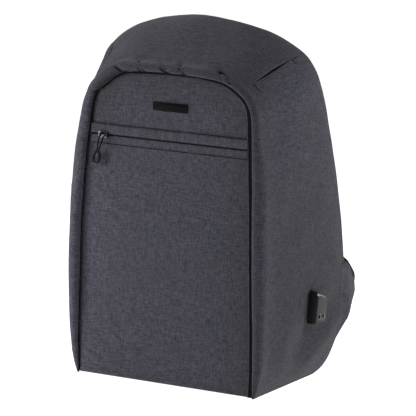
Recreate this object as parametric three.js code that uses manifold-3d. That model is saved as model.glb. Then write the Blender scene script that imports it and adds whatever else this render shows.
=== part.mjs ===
// An anti-theft backpack of charcoal melange cloth, standing on its base, in millimetres with +Z up.
// The front looks along -Y. The origin lies on the underside of the base, at the middle of its depth.
// A flat arched front panel sits inside a rolled rim. One shell of sides and hood runs from rim to back,
// and the way into the bag is a zip at the wearer's back. The bag is hollow between these walls.
import * as THREE from 'three';
import Module from 'manifold-3d';
import { mergeVertices } from 'three/addons/utils/BufferGeometryUtils.js';

const wasm = await Module();
wasm.setup();

// Main body
const panelHalfWidth = 129;      // front panel at its widest, to the groove
const panelHeight = 396;         // floor to the top of the groove
const panelSetback = 16;         // how far the front leans back at the panel's top
const panelEdgeThickness = 4;
const panelTuck = 5;             // how far the panel's thin border runs under the rim
const backHalfWidth = 163;
const backHeight = 455;          // floor to the crown at the back edge
const crownRise = 17;            // how far the hood swells above a straight line from rim to back
const crownFocus = 18;           // the higher, the more the swell keeps to the crown
const swellDelay = 1.7;          // the higher, the nearer to the back the swell peaks
const sideSwell = 5;
const baseDepth = 156;
const baseThickness = 4;
const hipDepth = 203;            // deepest place of the back
const hipHeight = 95;
const crownDepth = 131;          // depth of the back at its crown
const shellWall = 3;
const clearance = 0.4;           // gap kept between neighbouring pieces
const seamGap = 1.2;             // gap along a seam that follows a curved edge

// Rolled rim
const rimWidth = 18;
const fullRim = 0.8;             // share of the rim's width below which the wall and the tuck get thinner
const rimProud = 11;             // how far the roll stands in front of the panel's face
const rimBack = 6;               // where the roll passes into the side, behind the panel's face

// Back corner of the shell, its border, and the zip let into that border
const backCornerRadius = 16;
const backBorder = 18;
const mainZipWidth = 8;
const mainZipThickness = 1.8;
const mainZipRise = 0.2;         // how far the zip stands off the back's plane
const backPadRise = 6;
const lowerBackThickness = 3;

// Front pocket
const pocketZipDrop = 84.5;      // from the panel's top down to the zip
const pocketZipHeight = panelHeight - pocketZipDrop;
const pocketZipWidth = 3.4;
const pocketZipThickness = 1.6;
const pocketZipHalfLength = 112;
const zipSlotDepth = 2;
const welt = { above: 14, below: 11.5, thickness: 1 };
const sliderSize = { length: 12, height: 8.5, body: 2.4, window: 2.4, bridge: 1.2, bridgeHeight: 3 };
const sliderX = -93;
const pullerCordDiameter = 1.6;
const pullerTip = { width: 12, height: 16, thickness: 3.4 };
const pullerDrop = 20.6;         // slider's middle to the top of the tip
const pullerLean = -5.5;         // how far the tip hangs to the left of the slider
const plateSize = { width: 49, height: 11, thickness: 1.4 };
const plateShare = 0.509;        // place of the plate between the zip and the panel's top
const plateX = 2;

// Side fittings
const usb = { width: 23, height: 43, proud: 12.5, depthPlace: 101.5, heightPlace: 101 };
const usbSocket = { width: 13.4, thickness: 5.6, depth: 12 };
const wing = { middle: 103, reach: 18, root: 28, drop: 44, thickness: 2.4, lean: 8, bend: 12 };
const sidePocket = { front: 18, rear: 146, bottom: 14, mouth: 240, puff: 12, wall: 1.5 };
const hemHeight = 15;
const hemThickness = 2.6;
const hemRibs = 26;

// Carrying gear
const strap = { width: 62, thickness: 11, standoff: 19 };
const webbing = { width: 25, thickness: 1.6 };
const lock = { width: 33, height: 27, thickness: 4, bar: 4, slot: 5.6 };
const tail = 78;                 // loose webbing below the lock
const handle = { width: 25, thickness: 4, halfSpan: 36, reach: 26, below: 27, rise: 6 };
const mainSlider = { width: 9, height: 14, thickness: 3.2 };

const cloth = { color: 0x3c3b43, roughness: 0.9, metalness: 0 };
const material = {
  cloth: new THREE.MeshStandardMaterial(cloth),
  mesh: new THREE.MeshStandardMaterial({ ...cloth, color: 0x242428 }),
  webbing: new THREE.MeshStandardMaterial({ color: 0x17171a, roughness: 0.8 }),
  zip: new THREE.MeshStandardMaterial({ color: 0x0e0e10, roughness: 0.6 }),
  slider: new THREE.MeshStandardMaterial({ color: 0x2b2b2e, roughness: 0.25, metalness: 0.9 }),
  plastic: new THREE.MeshStandardMaterial({ color: 0x1b1b1d, roughness: 0.4 }),
  plate: new THREE.MeshStandardMaterial({ color: 0x070708, roughness: 0.12 }),
  metal: new THREE.MeshStandardMaterial({ color: 0xa8a8aa, roughness: 0.3, metalness: 1 }),
};

// Half outlines from the floor to the crown. Each row is the same place on the groove and at the back.
// out and up are shares of half width and height, rim and proud of the roll's width and of its rise.
// The right shoulder of the groove is squarer than the left one.
const leftGroove = [
  { out: 0.976, up: 0.0, rim: 0.15, proud: 0.2 },
  { out: 0.979, up: 0.02, rim: 0.3, proud: 0.25 },
  { out: 0.988, up: 0.1, rim: 0.71, proud: 0.6 },
  { out: 0.98, up: 0.3, rim: 0.96, proud: 1.0 },
  { out: 0.968, up: 0.49, rim: 1.0, proud: 1.0 },
  { out: 0.95, up: 0.6, rim: 1.04, proud: 0.9 },
  { out: 0.916, up: 0.732, rim: 1.02, proud: 0.75 },
  { out: 0.88, up: 0.82, rim: 0.95, proud: 0.6 },
  { out: 0.837, up: 0.905, rim: 0.8, proud: 0.5 },
  { out: 0.73, up: 0.957, rim: 0.74, proud: 0.5 },
  { out: 0.53, up: 0.991, rim: 0.72, proud: 0.6 },
  { out: 0.262, up: 1.001, rim: 0.68, proud: 0.7 },
  { out: 0.0, up: 1.004, rim: 0.65, proud: 0.7 },
];
const rightGroove = [
  { out: 0.976, up: 0.0, rim: 0.15, proud: 0.2 },
  { out: 0.979, up: 0.02, rim: 0.3, proud: 0.25 },
  { out: 0.984, up: 0.1, rim: 0.72, proud: 0.6 },
  { out: 0.972, up: 0.3, rim: 1.0, proud: 1.0 },
  { out: 0.955, up: 0.49, rim: 1.08, proud: 1.0 },
  { out: 0.946, up: 0.6, rim: 1.06, proud: 0.9 },
  { out: 0.931, up: 0.732, rim: 0.92, proud: 0.75 },
  { out: 0.917, up: 0.82, rim: 0.7, proud: 0.6 },
  { out: 0.893, up: 0.912, rim: 0.56, proud: 0.5 },
  { out: 0.787, up: 0.957, rim: 0.56, proud: 0.5 },
  { out: 0.6, up: 0.99, rim: 0.6, proud: 0.6 },
  { out: 0.31, up: 1.002, rim: 0.62, proud: 0.7 },
  { out: 0.0, up: 1.004, rim: 0.65, proud: 0.7 },
];
const backRows = [
  { out: 0.866, up: 0.0 },
  { out: 0.91, up: 0.02 },
  { out: 0.96, up: 0.092 },
  { out: 0.994, up: 0.263 },
  { out: 1.0, up: 0.439 },
  { out: 0.988, up: 0.548 },
  { out: 0.969, up: 0.669 },
  { out: 0.942, up: 0.768 },
  { out: 0.9, up: 0.86 },
  { out: 0.808, up: 0.913 },
  { out: 0.607, up: 0.958 },
  { out: 0.319, up: 0.986 },
  { out: 0.0, up: 1.0 },
];

// The roll's section from the lip inside the groove out to the side, as shares of its width and of its rise.
const roll = [
  { out: 0.12, forward: -0.38 },
  { out: 0.0, forward: -0.05 },
  { out: -0.02, forward: 0.4 },
  { out: 0.05, forward: 0.8 },
  { out: 0.3, forward: 1.0 },
  { out: 0.62, forward: 0.9 },
  { out: 0.88, forward: 0.5 },
  { out: 0.98, forward: -0.02 },
];

// Where the side's own rows lie, as shares of the way from the roll to the back corner.
const sideRows = [0, 0.1, 0.24, 0.42, 0.6, 0.78, 0.92];
const cornerTurns = [0, 0.25, 0.5, 0.75, 1];

// Folds of the cloth: pleats at the shoulders and puckers along the rim. along is a share of the outline
// from the left foot to the right one, from and to are shares of the way back, rise is in millimetres.
const pleatRise = 3.2;
const puckerRise = 1.8;
const folds = [
  { along: 0.374, spread: 0.018, from: 0.02, to: 0.72, rise: pleatRise },
  { along: 0.626, spread: 0.018, from: 0.02, to: 0.72, rise: pleatRise },
  { along: 0.427, spread: 0.02, from: -0.6, to: 0.1, rise: -puckerRise },
  { along: 0.473, spread: 0.016, from: -0.6, to: 0.1, rise: -puckerRise },
  { along: 0.51, spread: 0.016, from: -0.6, to: 0.1, rise: -puckerRise },
  { along: 0.569, spread: 0.02, from: -0.6, to: 0.1, rise: -puckerRise },
];

const lipDepth = -roll[0].forward * rimProud;

const lerp = THREE.MathUtils.lerp;
const clamp = THREE.MathUtils.clamp;
const bump = (x) => Math.max(0, 1 - x * x) ** 2;

// Curves through the outline table, from the left foot over the crown to the right foot.
function outlineCurve(left, right, halfWidth, height) {
  const place = (row, side) => new THREE.Vector3(side * row.out * halfWidth, 0, row.up * height);
  const leftHalf = left.map((row) => place(row, -1));
  const rightHalf = right.slice(0, -1).map((row) => place(row, 1)).reverse();
  return new THREE.CatmullRomCurve3([...leftHalf, ...rightHalf], false, 'centripetal');
}
const frontCurve = outlineCurve(leftGroove, rightGroove, panelHalfWidth, panelHeight);
const backCurve = outlineCurve(backRows, backRows, backHalfWidth, backHeight);

// A share of the groove tables at a place along the outline, read between their rows.
const grooveRows = [...leftGroove, ...rightGroove.slice(0, -1).reverse()];
function shareAt(along, name) {
  const place = clamp(along, 0, 1) * (grooveRows.length - 1);
  const row = Math.min(grooveRows.length - 2, Math.floor(place));
  return lerp(grooveRows[row][name], grooveRows[row + 1][name], place - row);
}

// How deep the front and the back lie at a height.
const frontDepthAt = (z) => (panelSetback * z) / panelHeight;
function backDepthAt(z) {
  if (z < hipHeight) return lerp(baseDepth, hipDepth, (Math.max(z, 0) / hipHeight) ** 0.6);
  return lerp(hipDepth, crownDepth, (z - hipHeight) / (backHeight - hipHeight));
}

// Outward direction, in the front view, at a place on a curve. The feet point straight out.
function outwardAt(curve, along) {
  if (along <= 0) return new THREE.Vector2(-1, 0);
  if (along >= 1) return new THREE.Vector2(1, 0);
  const step = 0.004;
  const ahead = curve.getPoint(Math.min(1, along + step));
  const behind = curve.getPoint(Math.max(0, along - step));
  return new THREE.Vector2(-(ahead.z - behind.z), ahead.x - behind.x).normalize();
}

function foldAt(along, back) {
  let rise = 0;
  for (const fold of folds) {
    const middle = (fold.from + fold.to) / 2;
    const reach = (fold.to - fold.from) / 2;
    rise += fold.rise * bump((along - fold.along) / fold.spread) * bump((back - middle) / reach);
  }
  return rise;
}

// One section of the shell, as points { out, depth } with the outline place that each is measured from.
function shellSection(along) {
  const front = frontCurve.getPoint(along);
  const frontOut = outwardAt(frontCurve, along);
  const back = backCurve.getPoint(along);
  const backOut = outwardAt(backCurve, along);
  const width = shareAt(along, 'rim') * rimWidth;
  const crownShare = clamp(back.z / backHeight, 0, 1) ** crownFocus;
  const footShare = clamp(back.z / (0.12 * backHeight), 0, 1);
  const rise = shareAt(along, 'proud') * rimProud;
  const rows = [];
  for (const row of roll) {
    const push = row.out * width + foldAt(along, row.out - 1) * (row.out > 0.2 ? 1 : 0);
    const x = front.x + frontOut.x * push;
    const z = Math.max(0, front.z + frontOut.y * push);
    rows.push({ x, z, depth: frontDepthAt(z) - row.forward * rise, outward: frontOut });
  }
  const start = new THREE.Vector3(front.x + frontOut.x * width, 0, Math.max(0, front.z + frontOut.y * width));
  start.y = frontDepthAt(start.z) + rimBack;
  const end = new THREE.Vector3(back.x, backDepthAt(back.z) - backCornerRadius, back.z);
  for (const share of sideRows) {
    const place = start.clone().lerp(end, share);
    const outward = frontOut.clone().lerp(backOut, share).normalize();
    const late = share ** swellDelay;
    const most = lerp(footShare * sideSwell, crownRise, crownShare);
    const swell = 4 * late * (1 - late) * most + foldAt(along, share);
    rows.push({
      x: place.x + outward.x * swell,
      z: Math.max(0, place.z + outward.y * swell),
      depth: place.y,
      outward,
    });
  }
  for (const turn of cornerTurns) {
    const angle = (turn * Math.PI) / 2;
    const inward = backCornerRadius * (1 - Math.cos(angle));
    const z = Math.max(0, back.z - backOut.y * inward);
    const depth = backDepthAt(z) - backCornerRadius * (1 - Math.sin(angle));
    rows.push({ x: back.x - backOut.x * inward, z, depth, outward: backOut });
  }
  const inward = backCornerRadius + backBorder;
  const z = Math.max(0, back.z - backOut.y * inward);
  rows.push({ x: back.x - backOut.x * inward, z, depth: backDepthAt(z), outward: backOut });
  return rows;
}

// The wall's other face: each row moved inwards, square to the section, by the wall's thickness.
function insideOf(rows, thickness, rimShare) {
  const slim = Math.min(1, rimShare / fullRim);
  return rows.map((row, i) => {
    const wall = thickness * (i <= roll.length ? slim : 1);
    const before = rows[Math.max(0, i - 1)];
    const after = rows[Math.min(rows.length - 1, i + 1)];
    const acrossStep = (after.x - before.x) * row.outward.x + (after.z - before.z) * row.outward.y;
    const depthStep = after.depth - before.depth;
    const length = Math.hypot(acrossStep, depthStep);
    const inward = (wall * depthStep) / length;
    return {
      x: row.x - row.outward.x * inward,
      z: Math.max(0, row.z - row.outward.y * inward),
      depth: row.depth + (wall * acrossStep) / length,
      outward: row.outward,
    };
  });
}

const pointOf = (row) => new THREE.Vector3(row.x, row.depth, row.z);

// A closed solid through rings of equally many points, with flat ends.
function loft(rings) {
  const count = rings[0].length;
  const positions = [];
  const faces = [];
  rings.forEach((ring) => ring.forEach((p) => positions.push(p.x, p.y, p.z)));
  for (let i = 0; i + 1 < rings.length; i++) {
    for (let j = 0; j < count; j++) {
      const a = i * count + j;
      const b = i * count + ((j + 1) % count);
      faces.push(a, b, b + count, a, b + count, a + count);
    }
  }
  capOf(rings[0]).forEach(([a, b, c]) => faces.push(a, c, b));
  const last = (rings.length - 1) * count;
  capOf(rings[rings.length - 1]).forEach(([a, b, c]) => faces.push(last + a, last + b, last + c));
  return facingOut(positions, faces);
}

// Triangles that fill a flat ring, turned the way that the ring runs.
function capOf(ring) {
  const normal = new THREE.Vector3();
  ring.forEach((p, i) => normal.add(new THREE.Vector3().crossVectors(p, ring[(i + 1) % ring.length])));
  normal.normalize();
  const turn = new THREE.Quaternion().setFromUnitVectors(normal, new THREE.Vector3(0, 0, 1));
  const flat = ring.map((p) => {
    const q = p.clone().applyQuaternion(turn);
    return new THREE.Vector2(q.x, q.y);
  });
  return THREE.ShapeUtils.triangulateShape(flat, []);
}

function facingOut(positions, faces) {
  let volume = 0;
  const corner = (i) => new THREE.Vector3(...positions.slice(3 * i, 3 * i + 3));
  for (let i = 0; i < faces.length; i += 3) {
    volume += corner(faces[i]).dot(corner(faces[i + 1]).cross(corner(faces[i + 2])));
  }
  if (volume < 0) {
    for (let i = 0; i < faces.length; i += 3) [faces[i + 1], faces[i + 2]] = [faces[i + 2], faces[i + 1]];
  }
  const geometry = new THREE.BufferGeometry();
  geometry.setAttribute('position', new THREE.Float32BufferAttribute(positions, 3));
  geometry.setIndex(faces);
  return geometry;
}

function solidOf(geometry) {
  const bare = geometry.clone();
  bare.deleteAttribute('normal');
  bare.deleteAttribute('uv');
  const merged = mergeVertices(bare, 1e-4);
  return new wasm.Manifold(new wasm.Mesh({
    numProp: 3,
    vertProperties: new Float32Array(merged.attributes.position.array),
    triVerts: new Uint32Array(merged.index.array),
  }));
}

function geometryOf(solid) {
  const mesh = solid.getMesh();
  const geometry = new THREE.BufferGeometry();
  geometry.setAttribute('position', new THREE.Float32BufferAttribute(mesh.vertProperties, 3));
  geometry.setIndex([...mesh.triVerts]);
  return geometry;
}

const cutAway = (geometry, ...tools) =>
  geometryOf(tools.reduce((left, tool) => left.subtract(solidOf(tool)), solidOf(geometry)));

const backpack = new THREE.Group();
const bag = new THREE.Group();
bag.position.set(0, -baseDepth / 2, 0);
backpack.add(bag);

function add(name, geometry, finish) {
  const mesh = new THREE.Mesh(geometry, finish);
  mesh.name = name;
  bag.add(mesh);
  return mesh;
}

// Places along the outline where the shell has its rings: closer round the arch.
function ringPlaces() {
  const places = [];
  const legRings = 9;
  const archRings = 38;
  const legShare = 0.25;
  for (let i = 0; i < legRings; i++) places.push((i / legRings) * legShare);
  for (let i = 0; i <= archRings; i++) places.push(lerp(legShare, 1 - legShare, i / archRings));
  for (let i = legRings - 1; i >= 0; i--) places.push(1 - (i / legRings) * legShare);
  return places;
}

function sidesAndHood() {
  const rings = ringPlaces().map((along) => {
    const outer = shellSection(along);
    const inner = insideOf(outer, shellWall, shareAt(along, 'rim')).reverse();
    return [...outer, ...inner].map(pointOf);
  });
  return loft(rings);
}

// A closed outline of the front panel, moved outwards by reach and raised at its foot.
function panelRing(reach, depth, foot) {
  const points = [];
  const steps = 46;
  for (let i = 0; i <= steps; i++) {
    const along = i / steps;
    const place = frontCurve.getPoint(along);
    const outward = outwardAt(frontCurve, along);
    const tuck = reach * Math.min(1, shareAt(along, 'rim') / fullRim);
    const z = foot + (place.z + outward.y * tuck) * (1 - foot / panelHeight);
    points.push(new THREE.Vector3(place.x + outward.x * tuck, frontDepthAt(z) + depth, z));
  }
  return points;
}

// The panel's face is flat, and its edge rolls back to a thin border that runs under the rim.
const panelEdge = [
  { reach: -0.1, deep: 1.0, foot: 0 },
  { reach: -0.35, deep: 0.5, foot: 0.1 },
  { reach: -0.8, deep: 0.12, foot: 0.4 },
  { reach: -1.4, deep: 0.0, foot: 1.0 },
];
const footRound = 5;

function frontPanel() {
  const borderFront = lipDepth + clearance;
  const borderBack = borderFront + panelEdgeThickness;
  const rings = [panelRing(panelTuck, borderBack, 0), panelRing(panelTuck, borderFront, 0)];
  for (const row of panelEdge) {
    rings.push(panelRing(row.reach * panelTuck, row.deep * borderFront, row.foot * footRound));
  }
  const slotWidth = pocketZipWidth + 2 * clearance;
  const slot = new THREE.BoxGeometry(2 * pocketZipHalfLength, 2 * zipSlotDepth, slotWidth);
  slot.translate(0, frontDepthAt(pocketZipHeight), pocketZipHeight);
  return cutAway(loft(rings), slot);
}

// A strip on the panel's face between two heights, standing proud of it.
function faceStrip(middle, halfLength, low, high, thickness, seat) {
  const ring = (x) => [
    new THREE.Vector3(x, frontDepthAt(low) - seat, low),
    new THREE.Vector3(x, frontDepthAt(high) - seat, high),
    new THREE.Vector3(x, frontDepthAt(high) - seat - thickness, high),
    new THREE.Vector3(x, frontDepthAt(low) - seat - thickness, low),
  ];
  return loft([ring(middle - halfLength), ring(middle + halfLength)]);
}

function baseBoard() {
  const inner = insideOf(shellSection(1), shellWall, rightGroove[0].rim);
  const side = inner.slice(roll.length + 1, roll.length + sideRows.length + 3);
  const frontDepth = lipDepth + panelEdgeThickness + 3 * clearance;
  const right = [new THREE.Vector2(inner[roll.length].x - 1.5 * clearance, frontDepth)];
  side.forEach((row) => right.push(new THREE.Vector2(row.x - 1.5 * clearance, row.depth - clearance)));
  const left = right.map((p) => new THREE.Vector2(-p.x, p.y)).reverse();
  return new THREE.ExtrudeGeometry(new THREE.Shape([...right, ...left]), {
    depth: baseThickness,
    bevelEnabled: false,
  });
}

// A place on the back, so far inside the back curve.
function insetPlace(along, reach) {
  const place = backCurve.getPoint(along);
  const outward = outwardAt(backCurve, along);
  return { x: place.x - outward.x * reach, z: place.z - outward.y * reach };
}

// Where a line so far inside the back curve passes a height, on the right half.
function alongAt(z, reach) {
  let low = 0.6;
  let high = 1;
  for (let i = 0; i < 30; i++) {
    const middle = (low + high) / 2;
    if (insetPlace(middle, reach).z > z) low = middle;
    else high = middle;
  }
  return high;
}

// Half width inside the shell's back border, at a height.
function borderHalfWidthAt(z) {
  const reach = backCornerRadius + backBorder;
  return insetPlace(alongAt(z, reach), reach).x;
}

function lowerBack() {
  const rows = 8;
  const heights = [...Array(rows + 1).keys()].map((i) => ((i / rows) ** 1.4) * (hipHeight - clearance));
  const ring = (side) => {
    const at = (z, inset) =>
      new THREE.Vector3(side * (borderHalfWidthAt(z) - seamGap), backDepthAt(z) - inset, z);
    return [
      ...heights.map((z) => at(z, 0)),
      ...heights.map((z) => at(z, lowerBackThickness)).reverse(),
    ];
  };
  return loft([ring(-1), ring(0), ring(1)]);
}

// Outline of the back panel in the back's leaning plane, flat along its foot.
function backOutline() {
  const reach = backCornerRadius + backBorder + mainZipWidth + 2 * clearance;
  const end = alongAt(hipHeight + clearance, reach);
  const steps = 40;
  return shares(steps).map((share) => {
    const place = insetPlace(lerp(1 - end, end, share), reach);
    return new THREE.Vector2(place.x, place.z);
  });
}

// The panel against the wearer's back: a board with a padded, rounded face.
const backPad = [
  { inset: 0, rise: -0.5 },
  { inset: 0, rise: 0.1 },
  { inset: 3, rise: 0.62 },
  { inset: 9, rise: 0.92 },
  { inset: 18, rise: 1.0 },
];

function backPanel() {
  const edge = backOutline();
  const halfWidth = Math.max(...edge.map((p) => p.x));
  const top = Math.max(...edge.map((p) => p.y));
  const halfHeight = (top - edge[0].y) / 2;
  const middle = top - halfHeight;
  return loft(backPad.map((row) => edge.map((p) => {
    const x = p.x * (1 - row.inset / halfWidth);
    const z = middle + (p.y - middle) * (1 - row.inset / halfHeight);
    return new THREE.Vector3(x, backDepthAt(z) + row.rise * backPadRise, z);
  })));
}

// The closed zip that runs round the back panel, from hip to hip.
function mainZip() {
  const edge = backCornerRadius + backBorder;
  const end = alongAt(hipHeight + seamGap, edge + mainZipWidth);
  const profile = [
    [seamGap, mainZipRise],
    [seamGap, mainZipRise - mainZipThickness],
    [mainZipWidth, mainZipRise - mainZipThickness],
    [mainZipWidth, mainZipRise],
  ];
  return loft(shares(44).map((share) => profile.map(([inset, rise]) => {
    const place = insetPlace(lerp(1 - end, end, share), edge + inset);
    return new THREE.Vector3(place.x, backDepthAt(place.z) + rise, place.z);
  })));
}

// A flat band along a path. Each stop gives its middle, the direction of its width, and its half width.
// Its face looks along the cross product of path and width.
function band(stops, thickness, corner = 0) {
  const rings = stops.map((stop, i) => {
    const before = stops[Math.max(0, i - 1)].at;
    const after = stops[Math.min(stops.length - 1, i + 1)].at;
    const run = after.clone().sub(before).normalize();
    const across = stop.across.clone().addScaledVector(run, -stop.across.dot(run)).normalize();
    const face = across.clone().cross(run);
    const half = stop.halfWidth;
    const deep = (stop.thickness ?? thickness) / 2;
    const round = 0.9 * Math.min(corner, deep, half);
    const profile = corner > 0
      ? [[half, deep - round], [half - round, deep], [round - half, deep], [-half, deep - round],
        [-half, round - deep], [round - half, -deep], [half - round, -deep], [half, round - deep]]
      : [[half, deep], [-half, deep], [-half, -deep], [half, -deep]];
    return profile.map(([x, y]) => stop.at.clone().addScaledVector(across, x).addScaledVector(face, y));
  });
  return loft(rings);
}

// A point on the wearer's side of the back, standing off its padded face.
const offBack = (x, z, standoff) => new THREE.Vector3(x, backDepthAt(z) + backPadRise + standoff, z);

// Shoulder strap route down the right half, as shares of the back's half width and height, of the strap's
// standoff and of its width and thickness.
const strapRoute = [
  { across: 0.245, up: 0.875, off: 0.2, width: 0.74, thick: 0.55 },
  { across: 0.258, up: 0.853, off: 0.35, width: 0.86, thick: 1.0 },
  { across: 0.294, up: 0.804, off: 0.5, width: 1.0, thick: 1.0 },
  { across: 0.35, up: 0.734, off: 0.74, width: 1.0, thick: 1.0 },
  { across: 0.411, up: 0.659, off: 0.92, width: 1.0, thick: 1.0 },
  { across: 0.485, up: 0.585, off: 1.0, width: 0.96, thick: 1.0 },
  { across: 0.546, up: 0.523, off: 1.0, width: 0.84, thick: 1.0 },
  { across: 0.583, up: 0.479, off: 0.975, width: 0.66, thick: 0.9 },
  { across: 0.601, up: 0.455, off: 0.95, width: 0.5, thick: 0.55 },
];
const strapPlace = (row, side) =>
  offBack(side * row.across * backHalfWidth, row.up * backHeight, row.off * strap.standoff);

function strapStops(side) {
  return strapRoute.map((row) => ({
    at: strapPlace(row, side),
    across: new THREE.Vector3(1, 0, 0),
    halfWidth: (row.width * strap.width) / 2,
    thickness: row.thick * strap.thickness,
  }));
}

function shoulderStrap(side) {
  return band(strapStops(side), strap.thickness, strap.thickness * 0.36);
}

// Frame of the lock at the strap's lower end: its middle, its downward run and its face.
function lockFrame(side) {
  const [before, end] = strapRoute.slice(-2).map((row) => strapPlace(row, side));
  const down = end.clone().sub(before).normalize();
  const across = new THREE.Vector3(1, 0, 0).addScaledVector(down, -down.x).normalize();
  const face = across.clone().cross(down);
  const middle = end.clone().addScaledVector(down, lock.height / 2 + clearance);
  return { middle, down, across, face };
}

function ladderLock(side) {
  const slotWidth = webbing.width + 1.6;
  const plate = new THREE.BoxGeometry(lock.width, lock.thickness, lock.height);
  const slots = [-1, 1].map((way) => {
    const slot = new THREE.BoxGeometry(slotWidth, 2 * lock.thickness, lock.slot);
    return slot.translate(0, 0, (way * (lock.bar + lock.slot)) / 2);
  });
  const geometry = cutAway(plate, ...slots);
  const { middle, down, across, face } = lockFrame(side);
  const turn = new THREE.Matrix4().makeBasis(across, face.clone().negate(), down.clone().negate());
  if (turn.determinant() < 0) turn.makeBasis(across, face, down.clone().negate());
  return geometry.applyMatrix4(turn.setPosition(middle));
}

// Webbing from the wing's tip up to the lock, round its lower bar and down again as a loose tail.

function strapWebbing(side) {
  const { middle, down, across, face } = lockFrame(side);
  const outFace = face.y > 0 ? face.clone() : face.clone().negate();
  const hug = lock.thickness / 2 + webbing.thickness / 2 + clearance;
  const at = (along, off) => middle.clone().addScaledVector(down, along).addScaledVector(outFace, off);
  const slotEnd = lock.bar / 2 + lock.slot;
  const barMiddle = (slotEnd + lock.height / 2) / 2;
  const tip = wingTip(side);
  const low = at(barMiddle + 12, -hug);
  const curve = new THREE.CatmullRomCurve3([
    tip,
    tip.clone().add(new THREE.Vector3(-7 * side, 17, 19)),
    tip.clone().lerp(low, 0.45).add(new THREE.Vector3(0, 12, 0)),
    low,
    at(barMiddle, -hug),
  ], false, 'centripetal');
  const steps = 14;
  const onWing = new THREE.Vector3(0, -side * 0.8, side * 0.6);
  const stops = shares(steps).map((share) => {
    const turn = THREE.MathUtils.smoothstep(share, 0.22, 0.85);
    return {
      at: curve.getPointAt(share),
      across: onWing.clone().lerp(across, turn).normalize(),
      halfWidth: webbing.width / 2,
    };
  });
  const round = [
    [slotEnd - 1, -hug],
    [slotEnd - 0.46 * lock.slot, -0.75 * hug],
    [slotEnd - 0.57 * lock.slot, 0],
    [slotEnd - 0.46 * lock.slot, 0.75 * hug],
    [slotEnd - 1, hug],
    [barMiddle, hug],
    [barMiddle + 0.4 * tail, hug + 3],
    [barMiddle + tail, hug + 2],
  ];
  for (const [along, off] of round) stops.push({ at: at(along, off), across, halfWidth: webbing.width / 2 });
  return band(stops, webbing.thickness);
}

// The wing is a triangle of cloth on the side's rear edge, which takes the webbing at its tip.
// Its sections run from the root on the side to the tip behind the back.
const wingSections = [
  { out: -1.0, low: -1.0, high: 0.82 },
  { out: -0.45, low: -0.75, high: 0.82 },
  { out: 0.2, low: -0.39, high: 0.36 },
  { out: 0.6, low: -0.3, high: 0.23 },
  { out: 1.0, low: -0.2, high: 0.16 },
];

function wingPlace(row, upShare) {
  const up = upShare * wing.drop;
  const reach = row.out * (row.out < 0 ? wing.root : wing.reach);
  const z = wing.middle + up;
  const past = Math.max(0, (reach + wing.bend) / (wing.reach + wing.bend));
  return { z, depth: backDepthAt(wing.middle + up * 0.5) + reach, inward: wing.lean * past };
}

// Outer half width of the shell's side at a height and depth.
function sideHalfWidthAt(z, depth) {
  let low = 0.5;
  let high = 1;
  for (let i = 0; i < 26; i++) {
    const middle = (low + high) / 2;
    if (sidePointAt(middle, depth).z > z) low = middle;
    else high = middle;
  }
  return sidePointAt(high, depth).x;
}

function sidePointAt(along, depth) {
  const rows = shellSection(along).slice(roll.length, roll.length + sideRows.length + 1);
  let i = 0;
  while (i < rows.length - 2 && rows[i + 1].depth < depth) i++;
  const share = clamp((depth - rows[i].depth) / (rows[i + 1].depth - rows[i].depth), 0, 1);
  return {
    x: lerp(rows[i].x, rows[i + 1].x, share),
    z: lerp(rows[i].z, rows[i + 1].z, share),
  };
}

const wingSeatX = clearance + Math.max(...wingSections.flatMap((row) => [row.low, 0, row.high].map((up) => {
  const { z, depth, inward } = wingPlace(row, up);
  return sideHalfWidthAt(z, Math.min(depth, backDepthAt(z) - wing.bend)) + inward * (row.out < 0 ? 1 : 0);
})));

// Where the webbing leaves the wing's inner face.
function wingTip(side) {
  const { z, depth } = wingPlace(wingSections[3], 0);
  const inner = wingSeatX - wing.lean - webbing.thickness / 2 - 2 * clearance;
  return new THREE.Vector3(side * inner, depth, z);
}

function strapWing(side) {
  return loft(wingSections.map((row) => {
    const [low, high] = [wingPlace(row, row.low), wingPlace(row, row.high)];
    const x = wingSeatX - low.inward;
    return [
      new THREE.Vector3(side * x, low.depth, low.z),
      new THREE.Vector3(side * x, high.depth, high.z),
      new THREE.Vector3(side * (x + wing.thickness), high.depth, high.z),
      new THREE.Vector3(side * (x + wing.thickness), low.depth, low.z),
    ];
  }));
}

// Grab handle: a padded loop behind the hood, with both feet on the back's upper border.
function grabHandle() {
  const stops = [];
  const steps = 14;
  for (let i = 0; i <= steps; i++) {
    const share = i / steps;
    const arch = Math.sin(Math.PI * share);
    const x = lerp(-handle.halfSpan, handle.halfSpan, share);
    const z = backHeight - handle.below + handle.rise * arch;
    const standoff = clearance + handle.thickness / 2 + handle.reach * arch ** 0.7;
    stops.push({
      at: new THREE.Vector3(x, backDepthAt(z) + standoff, z),
      across: new THREE.Vector3(0, 0, 1),
      halfWidth: (handle.width / 2) * lerp(0.62, 0.5, arch),
    });
  }
  return band(stops, handle.thickness, 1.4);
}

// The port's housing: a plastic hood on the right side, its socket opening at the foot.
const usbProfile = [
  { across: -0.5, up: -0.5 },
  { across: 0.5, up: -0.5 },
  { across: 0.5, up: 0.24 },
  { across: 0.4, up: 0.34 },
  { across: -0.26, up: 0.5 },
  { across: -0.37, up: 0.46 },
];
const usbSteps = [
  { out: 0, grow: 1.0, sink: 0 },
  { out: 0.82, grow: 1.0, sink: 0.08 },
  { out: 1.0, grow: 0.94, sink: 0.1 },
];
const usbFaceX = sideHalfWidthAt(usb.heightPlace, usb.depthPlace);
const usbSlope = {
  depth: (sideHalfWidthAt(usb.heightPlace, usb.depthPlace + usb.width / 2) - usbFaceX) / (usb.width / 2),
  up: (sideHalfWidthAt(usb.heightPlace + usb.height / 2, usb.depthPlace) - usbFaceX) / (usb.height / 2),
};

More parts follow.
